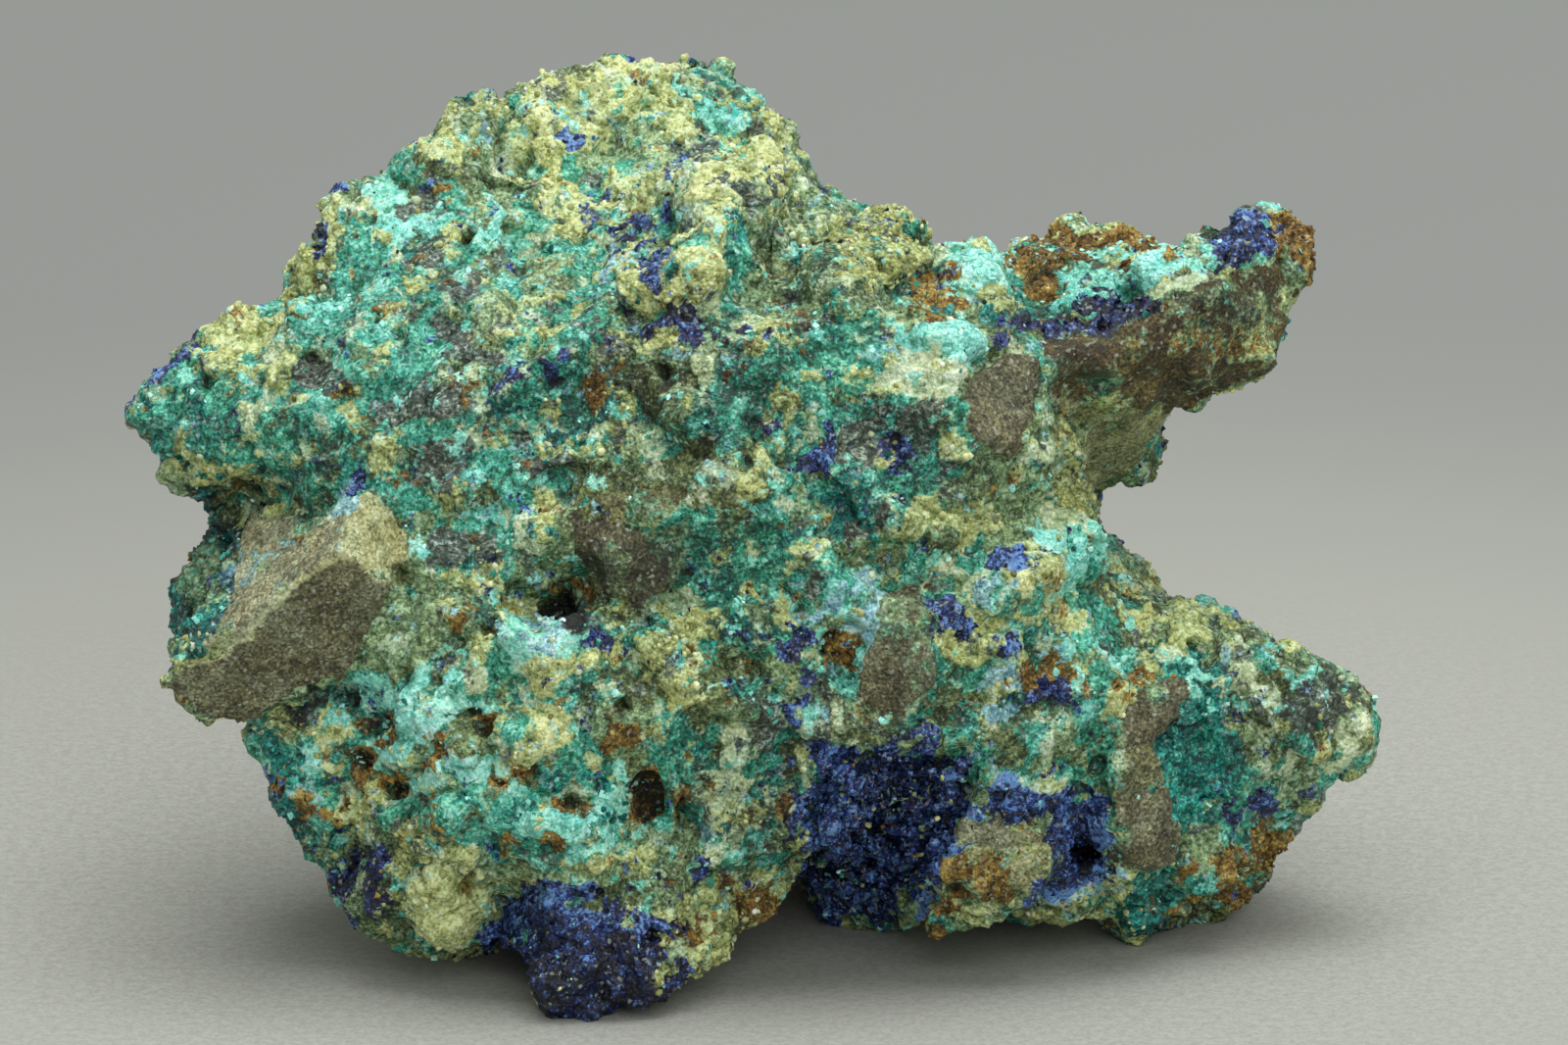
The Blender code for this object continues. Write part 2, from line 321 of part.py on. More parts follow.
# Mouth of the azurite-lined hollow, as an outline on the face.
HOLLOW_MOUTH = [
    (1.6, 8.0), (1.5, 10.6), (2.2, 12.2), (4.8, 13.3), (7.2, 13.2), (9.4, 12.6),
    (9.1, 11.2), (8.3, 9.8), (7.4, 8.2), (6.4, 7.2), (4.6, 6.9), (2.8, 7.2),
]
HOLLOW_DEEPEST = -6.0  # mm out, for a point of the face that lies below the rock
BEFORE_ROCK = 40  # mm out, in front of the whole rock
CRUST_GAP = 0.4  # mm between the druse and the wall it lines
CRUST_SUNK, CRUST_STANDING = 0.9, 0.6  # mm that the druse reaches into the wall and above it
DRUSE_SPACING = 0.95  # mm between its crystals
DRUSE_CRYSTAL = 0.6  # mm, half the width of a crystal's flat end, across its corners
DRUSE_HEIGHTS = (0.4, 1.3)  # mm that the crystals stand above the valleys between them
DRUSE_SPAN = 16.0  # mm, side of the square patch that the crystals are laid out on
DRUSE_LOWEST = 4.0  # mm up the face, the patch's lower edge
DRUSE_ROW = 0.87  # height of a row, as a share of the spacing, where each crystal has six neighbours
DRUSE_STRAY = 0.12  # mm that a crystal may stand out of line
DRUSE_INSET = 0.25  # mm between the crystals and the hollow's mouth
DRUSE_TILT = 0.35  # mm that one corner of a crystal's end may stand above its middle
SAME_PLACE = 3  # decimals of a millimetre to which two places are one
WALL_PATCH = 0.4  # mm round a point in which the wall's deepest place is looked for
ROOM_HEIGHT = 6.0  # mm of room above the wall
ROOM_MARGIN = 1.3  # how much wider than the gap the room is round the mouth, for corners that it cuts

CHIP_SIZE, CHIP_SLOPE = 3.4, 0.95  # mm across a fracture chip, and how steeply it may tilt
CHUNK_SIZE, CHUNK_HEIGHT = 1.9, 0.55  # mm, crusted lumps
SWELL_SIZE, SWELL_HEIGHT = 7.0, 0.8  # mm, broad unevenness
PLUMPING = 0.2  # mm added all over, what remeshing takes off the sharp places
SMOOTH_STEPS = 2
TABLE_SIZE = 200  # mm, side of the block that cuts the feet level

# Flat fractures of the broken back: direction in face coordinates, and distance from the origin in mm.
FRACTURES = [
    ((0.10, 0.22, -0.97), 29.6), ((-0.78, 0.12, -0.62), 27.5), ((0.66, 0.30, -0.69), 33.0),
    ((-0.22, 0.86, -0.46), 50.0), ((0.42, -0.45, -0.79), 15.8), ((-0.45, -0.35, -0.82), 20.8),
]


def turned(across, up, out):
    """A point in face millimetres, as a vector in the part's frame, in metres."""
    lean, rise = math.sin(FACE_LEAN), math.cos(FACE_LEAN)
    return MM * Vector((across, up * lean - out * rise, up * rise + out * lean - BASE_CUT))


def face_coordinates(points):
    """Points in the part's frame, in metres, as rows of face millimetres."""
    lean, rise = math.sin(FACE_LEAN), math.cos(FACE_LEAN)
    x, y, z = (np.asarray(points) / MM + (0, 0, BASE_CUT)).T
    return np.stack([x, y * lean + z * rise, z * lean - y * rise], axis=1)


def material(name, colour, roughness, metallic=0.0):
    made = bpy.data.materials.new(name)
    made.use_nodes = True
    shader = made.node_tree.nodes["Principled BSDF"]
    shader.inputs["Base Color"].default_value = (*colour, 1)
    shader.inputs["Roughness"].default_value = roughness
    shader.inputs["Metallic"].default_value = metallic
    made.diffuse_color = (*colour, 1)
    return made


def sheet_faces(lines, points):
    """(points, triangles) of one side of the stone: the rim filled in over its lines and heights."""
    places = list(RIM)
    edges = []
    for line in lines:
        for start, end in zip(line, line[1:]):
            for place in (start, end):
                if place not in places:
                    places.append(place)
            edges.append((places.index(start), places.index(end)))
    places += points
    flat = [Vector(place[:2]) for place in places]
    rim_face = list(range(len(RIM)))
    made, _, faces, sources, _, _ = delaunay_2d_cdt(flat, edges, [rim_face], 1, 1e-4)
    if any(not source for source in sources) or len(made) != len(places):
        raise ValueError("lines of the stone cross or leave the rim: move their points apart")
    order = [source[0] for source in sources]
    return places, [[order[corner] for corner in face] for face in faces]


def foot_points():
    """Each back foot with the surface that flares round it."""
    found = []
    for across, up, out in BACK_FEET:
        found.append((across, up, out))
        for spoke in range(FOOT_SPOKES):
            angle = math.tau * (spoke + 0.5) / FOOT_SPOKES
            sideways, inward = FOOT_FLARE * math.cos(angle), FOOT_FLARE * math.sin(angle)
            rise = FOOT_RISE - inward * math.tan(FACE_LEAN)
            found.append((across + sideways, up + rise, out + inward))
    return found


def stone_cage():
    """The closed, coarse cage of the stone: front sheet and back sheet joined along the rim."""
    bm = bmesh.new()
    rim = [bm.verts.new(turned(*place)) for place in RIM]
    front = sheet_faces(FRONT_LINES.values(), FRONT_POINTS)
    back = sheet_faces([], BACK_POINTS + foot_points())
    # a triangle between three rim points, found in both sheets, is a sliver with nothing inside it
    shared = {frozenset(face) for face in front[1] if max(face) < len(rim)}
    shared &= {frozenset(face) for face in back[1]}
    for (places, faces), faces_out in ((front, True), (back, False)):
        verts = rim + [bm.verts.new(turned(*place)) for place in places[len(rim):]]
        for face in faces:
            if frozenset(face) not in shared:
                bm.faces.new([verts[corner] for corner in (face if faces_out else reversed(face))])
    loose = [vert for vert in bm.verts if not vert.link_faces]
    bmesh.ops.delete(bm, geom=loose, context="VERTS")
    mesh = bpy.data.meshes.new("cage")
    bm.to_mesh(mesh)
    bm.free()
    return mesh


def linked(name, mesh, collection):
    made = bpy.data.objects.new(name, mesh)
    collection.objects.link(made)
    return made


def cutter(name, mesh):
    """A working solid that is joined to or taken out of another one."""
    made = linked(name, mesh, bpy.data.collections["cutters"])
    made.hide_render = True
    made.display_type = "WIRE"
    return made


def settle(obj):
    """Applies an object's modifiers to its own mesh."""
    bpy.context.view_layer.update()
    graph = bpy.context.evaluated_depsgraph_get()
    mesh = bpy.data.meshes.new_from_object(obj.evaluated_get(graph))
    obj.modifiers.clear()
    obj.data = mesh


def remesh(obj, voxel):
    step = obj.modifiers.new("remesh", "REMESH")
    step.mode = "VOXEL"
    step.voxel_size = voxel * MM
    settle(obj)


def decimate_to(obj, triangles):
    """Thins the mesh to about this many triangles, fewest where it is flat."""
    obj.data.calc_loop_triangles()
    step = obj.modifiers.new("thin", "DECIMATE")
    step.ratio = triangles / len(obj.data.loop_triangles)
    step.use_collapse_triangulate = True
    settle(obj)


def combine(obj, other, operation):
    """Joins another solid to this one, or cuts it out, and keeps the largest piece that is left."""
    step = obj.modifiers.new(operation.lower(), "BOOLEAN")
    step.operation = operation
    step.solver = "EXACT"
    step.use_self = True
    step.object = other
    settle(obj)
    keep_largest_piece(obj.data)


def keep_largest_piece(mesh):
    bm = bmesh.new()
    bm.from_mesh(mesh)
    unseen = set(bm.verts)
    pieces = []
    while unseen:
        piece, reached = set(), [unseen.pop()]
        while reached:
            vert = reached.pop()
            piece.add(vert)
            for edge in vert.link_edges:
                neighbour = edge.other_vert(vert)
                if neighbour in unseen:
                    unseen.remove(neighbour)
                    reached.append(neighbour)
        pieces.append(piece)
    pieces.sort(key=len)
    for piece in pieces[:-1]:
        bmesh.ops.delete(bm, geom=list(piece), context="VERTS")
    bm.to_mesh(mesh)
    bm.free()


def tidy(mesh):
    """Triangulates the solid and welds what a cut leaves doubled."""
    bm = bmesh.new()
    bm.from_mesh(mesh)
    bmesh.ops.triangulate(bm, faces=bm.faces)
    bmesh.ops.dissolve_degenerate(bm, edges=bm.edges, dist=WELD * MM)
    bmesh.ops.recalc_face_normals(bm, faces=bm.faces)
    bm.to_mesh(mesh)
    bm.free()


def dents(places, spots):
    """How far each front point moves out for the given spots: (across, up, radius, height)."""
    moved = np.zeros(len(places))
    for across, up, radius, height in spots:
        apart = np.hypot(places[:, 0] - across, places[:, 1] - up) / radius
        moved += height * np.clip(1 - apart**2, 0, 1)
    return moved


def roughness_at(point):
    """Height of the broken surface at a point, in millimetres: swells, tilted chips and lumps."""
    swell = noise.fractal(point / SWELL_SIZE, 1.0, 2.1, 3)
    chip_centre = noise.voronoi(point / CHIP_SIZE)[1][0]
    tilt = noise.cell_vector(chip_centre * 7.3) - Vector((0.5, 0.5, 0.5))
    chip = tilt.dot(point / CHIP_SIZE - chip_centre) * CHIP_SIZE
    near, next_near = noise.voronoi(point / CHUNK_SIZE)[0][:2]
    return SWELL_HEIGHT * swell + CHIP_SLOPE * chip + CHUNK_HEIGHT * (next_near - near - 0.35)


def surface_arrays(mesh):
    """The mesh's points and normals as two arrays of rows."""
    co, normals = np.empty(len(mesh.vertices) * 3), np.empty(len(mesh.vertices) * 3)
    mesh.vertices.foreach_get("co", co)
    mesh.vertices.foreach_get("normal", normals)
    return co.reshape(-1, 3), normals.reshape(-1, 3)


def face_direction(across, up, out):
    """A direction in face coordinates, turned into the part's frame."""
    return (turned(across, up, out) - turned(0, 0, 0)).normalized()


def fracture(mesh):
    """Breaks the rounded back off along flat planes."""
    co, _ = surface_arrays(mesh)
    for direction, distance in FRACTURES:
        normal = face_direction(*direction)
        beyond = (co - turned(0, 0, 0)) @ normal - distance * MM
        co -= np.outer(np.clip(beyond, 0, None), normal)
    mesh.vertices.foreach_set("co", co.ravel())
    mesh.update()


def roughen(mesh):
    """Breaks the smooth surface into swells, chips and lumps, with the pits and knobs of the front."""
    co, normals = surface_arrays(mesh)
    heights = np.array([roughness_at(Vector(place) / MM) for place in co])
    places = face_coordinates(co)
    co += normals * ((heights + PLUMPING) * MM)[:, None]
    outward = np.array(face_direction(0, 0, 1))
    in_front = np.clip(normals @ outward * 2.5, 0, 1)
    pushed = (dents(places, KNOBS) - dents(places, PITS)) * in_front
    co += np.outer(pushed * MM, outward)
    mesh.vertices.foreach_set("co", co.ravel())
    mesh.update()


def clast_mesh():
    """All the clasts, each the convex block around its corners."""
    bm = bmesh.new()
    for corners in CLASTS.values():
        verts = [bm.verts.new(turned(*corner)) for corner in corners]
        hull = bmesh.ops.convex_hull(bm, input=verts)
        inside = [vert for vert in hull["geom_interior"] if isinstance(vert, bmesh.types.BMVert)]
        bmesh.ops.delete(bm, geom=inside, context="VERTS")
    mesh = bpy.data.meshes.new("clasts")
    bm.to_mesh(mesh)
    bm.free()
    return mesh


def cluster_mesh(stone):
    """All the small pieces: flat-faced prisms and angular lumps, set on the rock at chance angles."""
    chance = random.Random(CHANCE_SEED)
    tree = BVHTree.FromObject(stone, bpy.context.evaluated_depsgraph_get())
    bm = bmesh.new()
    for shape, start, end, spread, size, count in CLUSTERS.values():
        for index in range(count):
            middle = turned(*start).lerp(turned(*end), index / (count - 1))
            shift = Vector([chance.gauss(0, spread * MM / 2) for _ in "xyz"])
            surface, normal, _, _ = tree.find_nearest(middle + shift)
            size_here = size * chance.uniform(0.6, 1.15) * MM
            lean = Vector([chance.uniform(-0.7, 0.7) for _ in "xyz"])
            turn = (normal + lean).to_track_quat("Z", "X").to_matrix().to_4x4()
            spin = Matrix.Rotation(chance.uniform(0, math.tau), 4, "Z")
            place = Matrix.Translation(surface - normal * SUNK * size_here) @ turn @ spin
            if shape == "prism":
                place = place @ Matrix.Diagonal((1, chance.uniform(0.5, 0.9), 1, 1))
                bmesh.ops.create_cone(
                    bm, cap_ends=True, segments=chance.choice((4, 5, 6)), radius1=size_here * 0.42,
                    radius2=size_here * chance.uniform(0.2, 0.36), depth=size_here, matrix=place)
            else:
                stretch = Matrix.Diagonal((1, chance.uniform(0.7, 1), chance.uniform(0.6, 0.9), 1))
                bmesh.ops.create_icosphere(bm, subdivisions=1, radius=size_here / 2, matrix=place @ stretch)
    mesh = bpy.data.meshes.new("clusters")
    bm.to_mesh(mesh)
    bm.free()
    return mesh


def inside_outline(across, up, outline):
    """Whether a point of the face lies in the outline, by counting the edges to its right."""
    inside = False
    for (x1, y1), (x2, y2) in zip(outline, outline[1:] + outline[:1]):
        if (y1 > up) != (y2 > up) and across < x1 + (up - y1) * (x2 - x1) / (y2 - y1):
            inside = not inside
    return inside


def widened(outline, distance):
    """The outline with every point moved this far from the middle of the outline."""
    middle = Vector((sum(x for x, _ in outline), sum(y for _, y in outline))) / len(outline)
    moved = []
    for place in outline:
        arm = Vector(place) - middle
        moved.append(tuple(Vector(place) + arm.normalized() * distance))
    return moved


def wall_height(tree, across, up):
    """How far out the front of the rock is at a point of the face, in millimetres."""
    hit, _, _, distance = tree.ray_cast(turned(across, up, BEFORE_ROCK), -face_direction(0, 0, 1))
    return HOLLOW_DEEPEST if hit is None else BEFORE_ROCK - distance / MM


def slab(name, outline, inner, bottom, top):
    """A closed sheet over an outline: its underside at bottom(point), its upper side at top(point)."""
    count = len(outline)
    flat = [Vector(place) for place in outline] + [Vector(place) for place in inner]
    made, _, faces, _, _, _ = delaunay_2d_cdt(flat, [], [list(range(count))], 1, 1e-5)
    bm = bmesh.new()
    lower = [bm.verts.new(turned(*place, bottom(*place))) for place in made]
    upper = [bm.verts.new(turned(*place, top(*place))) for place in made]
    sides = {}
    for face in faces:
        bm.faces.new([upper[corner] for corner in face])
        bm.faces.new([lower[corner] for corner in reversed(face)])
        for start, end in zip(face, face[1:] + face[:1]):
            sides[(start, end)] = (end, start) not in sides
            if (end, start) in sides:
                del sides[(end, start)], sides[(start, end)]
    for start, end in sides:
        bm.faces.new([upper[end], upper[start], lower[start], lower[end]])
    bmesh.ops.triangulate(bm, faces=bm.faces)
    bmesh.ops.recalc_face_normals(bm, faces=bm.faces)
    mesh = bpy.data.meshes.new(name)
    bm.to_mesh(mesh)
    bm.free()
    return mesh


def druse_points(chance):
    """Heights of the druse above its valleys, by place: four near corners for each flat-ended crystal."""
    heights = {}
    mouth = widened(HOLLOW_MOUTH, -DRUSE_INSET)
    rows = range(int(DRUSE_SPAN / DRUSE_SPACING))
    for row in rows:
        for column in rows:
            across = (column + 0.5 * (row % 2)) * DRUSE_SPACING + chance.uniform(-DRUSE_STRAY, DRUSE_STRAY)
            up = DRUSE_LOWEST + row * DRUSE_SPACING * DRUSE_ROW + chance.uniform(-DRUSE_STRAY, DRUSE_STRAY)
            height = chance.uniform(*DRUSE_HEIGHTS)
            turn = chance.uniform(0, math.pi)
            slope = chance.uniform(-DRUSE_TILT, DRUSE_TILT)
            for corner, stretch in enumerate((1, 0.6, 1, 0.6)):
                angle = turn + corner * math.pi / 2
                reach = DRUSE_CRYSTAL / 2 * stretch
                place = (across + reach * math.cos(angle), up + reach * math.sin(angle))
                if inside_outline(*place, mouth):
                    heights[place] = height + slope * math.cos(angle)
            valley = (across + DRUSE_SPACING / 2, up)
            if inside_outline(*valley, mouth):
                heights[valley] = 0
    return heights


def make_crust(stone, collection):
    """The azurite druse that lines the hollow. Returns the room that the rock leaves for it."""
    tree = BVHTree.FromObject(stone, bpy.context.evaluated_depsgraph_get())
    heights = druse_points(random.Random(CHANCE_SEED))
    inner = list(heights)
    above_valleys = {
        (round(across, SAME_PLACE), round(up, SAME_PLACE)): height
        for (across, up), height in heights.items()
    }

    def crystal_top(across, up):
        height = above_valleys.get((round(across, SAME_PLACE), round(up, SAME_PLACE)), 0)
        return wall_height(tree, across, up) + CRUST_STANDING + height

    def sunk(across, up):
        return wall_height(tree, across, up) - CRUST_SUNK

    def room_floor(across, up):
        steps = (-WALL_PATCH, 0, WALL_PATCH)
        around = [(across + dx, up + dy) for dx in steps for dy in steps]
        return min(wall_height(tree, *place) for place in around) - CRUST_SUNK - CRUST_GAP

    def room_ceiling(across, up):
        return wall_height(tree, across, up) + ROOM_HEIGHT

    crust = linked("azurite_crust", slab("crust", HOLLOW_MOUTH, inner, sunk, crystal_top), collection)
    crust.data.materials.append(material("azurite", (0.02, 0.03, 0.30), 0.35))
    room_mouth = widened(HOLLOW_MOUTH, CRUST_GAP * ROOM_MARGIN)
    return cutter("crust_room", slab("room", room_mouth, inner, room_floor, room_ceiling))


def make_matrix(collection):
    """The breccia itself, one solid with its arms, clasts, ledges, pits and hollow."""
    stone = linked("matrix", stone_cage(), collection)
    remesh(stone, BODY_VOXEL)
    smooth = stone.modifiers.new("soften", "SMOOTH")
    smooth.factor = 0.5
    smooth.iterations = SMOOTH_STEPS
    settle(stone)
    fracture(stone.data)
    roughen(stone.data)
    remesh(stone, BODY_VOXEL)
    combine(stone, cutter("clasts", clast_mesh()), "UNION")
    combine(stone, cutter("clusters", cluster_mesh(stone)), "UNION")
    remesh(stone, FINE_VOXEL)
    decimate_to(stone, MATRIX_TRIANGLES)
    combine(stone, cutter("table", below_ground()), "DIFFERENCE")
    return stone


def below_ground():
    """A block that reaches up to the resting plane, to cut the feet off level."""
    bm = bmesh.new()
    place = Matrix.Translation((0, 0, -TABLE_SIZE * MM / 2))
    bmesh.ops.create_cube(bm, size=TABLE_SIZE * MM, matrix=place)
    mesh = bpy.data.meshes.new("table")
    bm.to_mesh(mesh)
    bm.free()
    return mesh


def main():
    for old in list(bpy.data.objects):
        bpy.data.objects.remove(old)
    for name in ("richelsdorfite_specimen", "cutters"):
        bpy.context.scene.collection.children.link(bpy.data.collections.new(name))
    specimen = bpy.data.collections["richelsdorfite_specimen"]
    stone = make_matrix(specimen)
    room = make_crust(stone, specimen)
    combine(stone, room, "DIFFERENCE")
    tidy(stone.data)
    stone.data.materials.clear()
    stone.data.materials.append(material("breccia", (0.16, 0.36, 0.29), 0.85))
    for piece in specimen.objects:
        piece.data.transform(Matrix.Translation((-CENTRE_X * MM, -CENTRE_Y * MM, 0)))


main()
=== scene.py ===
"""Looks of the ore specimen: a weathered breccia crusted with blue and blue-green copper minerals.

The numbers are millimetres unless a name says otherwise, and turn to metres where a mesh is written.
Places on the rock's face are given as (x, y) in the photograph's own pixels, 20 to the millimetre.
"""

import itertools
import math

import bmesh
import bpy
import numpy as np
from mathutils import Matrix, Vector
from mathutils.bvhtree import BVHTree


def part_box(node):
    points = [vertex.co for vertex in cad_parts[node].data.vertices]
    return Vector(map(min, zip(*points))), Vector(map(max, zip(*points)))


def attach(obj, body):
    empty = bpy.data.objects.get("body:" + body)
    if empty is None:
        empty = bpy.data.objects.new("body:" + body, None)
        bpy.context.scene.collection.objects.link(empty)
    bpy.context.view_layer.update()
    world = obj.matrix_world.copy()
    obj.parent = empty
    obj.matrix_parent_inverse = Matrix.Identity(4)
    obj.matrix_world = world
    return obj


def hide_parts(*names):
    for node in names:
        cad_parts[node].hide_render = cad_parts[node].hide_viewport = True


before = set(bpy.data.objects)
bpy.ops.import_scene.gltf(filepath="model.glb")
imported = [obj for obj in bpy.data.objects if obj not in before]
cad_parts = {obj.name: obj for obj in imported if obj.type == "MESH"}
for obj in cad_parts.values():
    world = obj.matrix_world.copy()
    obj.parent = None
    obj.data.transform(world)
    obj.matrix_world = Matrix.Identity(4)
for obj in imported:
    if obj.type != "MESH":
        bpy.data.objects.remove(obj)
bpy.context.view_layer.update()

MM = 0.001
PHOTO_WIDTH, PHOTO_HEIGHT = 1600, 1066
PIXEL = 0.05                    # the size of one pixel at the face
FOOT_ROW = 1036                 # the row of the lowest point of the rock
FACE_LEAN = math.radians(15)    # how far the camera looks down on the face
LEAN_SIN, LEAN_COS = math.sin(FACE_LEAN), math.cos(FACE_LEAN)
MIDDLE_UP = (FOOT_ROW - PHOTO_HEIGHT / 2) * PIXEL    # how far up the face the middle row is
# The frame's origin, measured across, back and up from the face's point at the foot row and middle column.
CENTRE_ACROSS, CENTRE_DEPTH, BASE_CUT = -1.6, 10.485, 2.8
VIEW_DISTANCE = 1600.0          # from the camera to the face
SENSOR = 36.0                   # the width of the camera's sensor
SEED = 5

# ---------------------------------------------------------------- places and noise


def photo_places(points):
    """Where the camera sees each point, in the photograph's pixels."""
    across = points[:, 0] + CENTRE_ACROSS
    depth, height = points[:, 1] + CENTRE_DEPTH, points[:, 2] + BASE_CUT
    up = depth * LEAN_SIN + height * LEAN_COS
    out = height * LEAN_SIN - depth * LEAN_COS
    nearer = VIEW_DISTANCE / (VIEW_DISTANCE - out) / PIXEL
    return np.stack([PHOTO_WIDTH / 2 + across * nearer,
                     PHOTO_HEIGHT / 2 - (up - MIDDLE_UP) * nearer], axis=-1)


def step(value, low, high):
    """0 below low, 1 above high and smooth between."""
    t = np.clip((value - low) / (high - low), 0, 1)
    return t * t * (3 - 2 * t)


def chance(cell, seed):
    """A number from 0 to 1 for each whole-numbered cell, always the same for one cell and seed."""
    c = cell.astype(np.int64)
    n = c[..., 0] * 73856093 ^ c[..., 1] * 19349663 ^ c[..., 2] * 83492791 ^ seed * 40503
    n = (n ^ (n >> 13)) * 1274126177
    n = (n ^ (n >> 15)) * 668265263
    n = n ^ (n >> 16)
    return (n & 0xFFFFFF) / float(1 << 24)


def noise(points, size, seed):
    """Smooth noise from 0 to 1 whose bumps are about size apart."""
    p = points / size + seed * 7.31
    base = np.floor(p)
    t = p - base
    t = t * t * (3 - 2 * t)
    total = np.zeros(len(points))
    for corner in itertools.product((0, 1), repeat=3):
        weight = np.prod(np.where(np.array(corner), t, 1 - t), axis=1)
        total += weight * chance(base + np.array(corner), seed)
    return total


def layered(points, size, seed, layers=3):
    """Noise with finer noise laid on it, spread to fill 0 to 1."""
    total, share, whole = 0, 1.0, 0
    for layer in range(layers):
        total = total + share * noise(points, size / 2 ** layer, seed + layer)
        whole += share
        share *= 0.55
    return np.clip(0.5 + (total / whole - 0.5) * 1.7, 0, 1)


def cells(points, size, seed):
    """For each point, how far the nearest scattered centre is, in sizes, and that centre's own number."""
    p = points / size
    base = np.floor(p)
    nearest, number = np.full(len(points), 9.0), np.zeros(len(points))
    for offset in itertools.product((-1, 0, 1), repeat=3):
        cell = base + np.array(offset)
        centre = cell + np.stack([chance(cell, seed + k) for k in range(3)], axis=1)
        gap = np.linalg.norm(p - centre, axis=1)
        closer = gap < nearest
        nearest = np.where(closer, gap, nearest)
        number = np.where(closer, chance(cell, seed + 9), number)
    return nearest, number


# ---------------------------------------------------------------- where each mineral lies

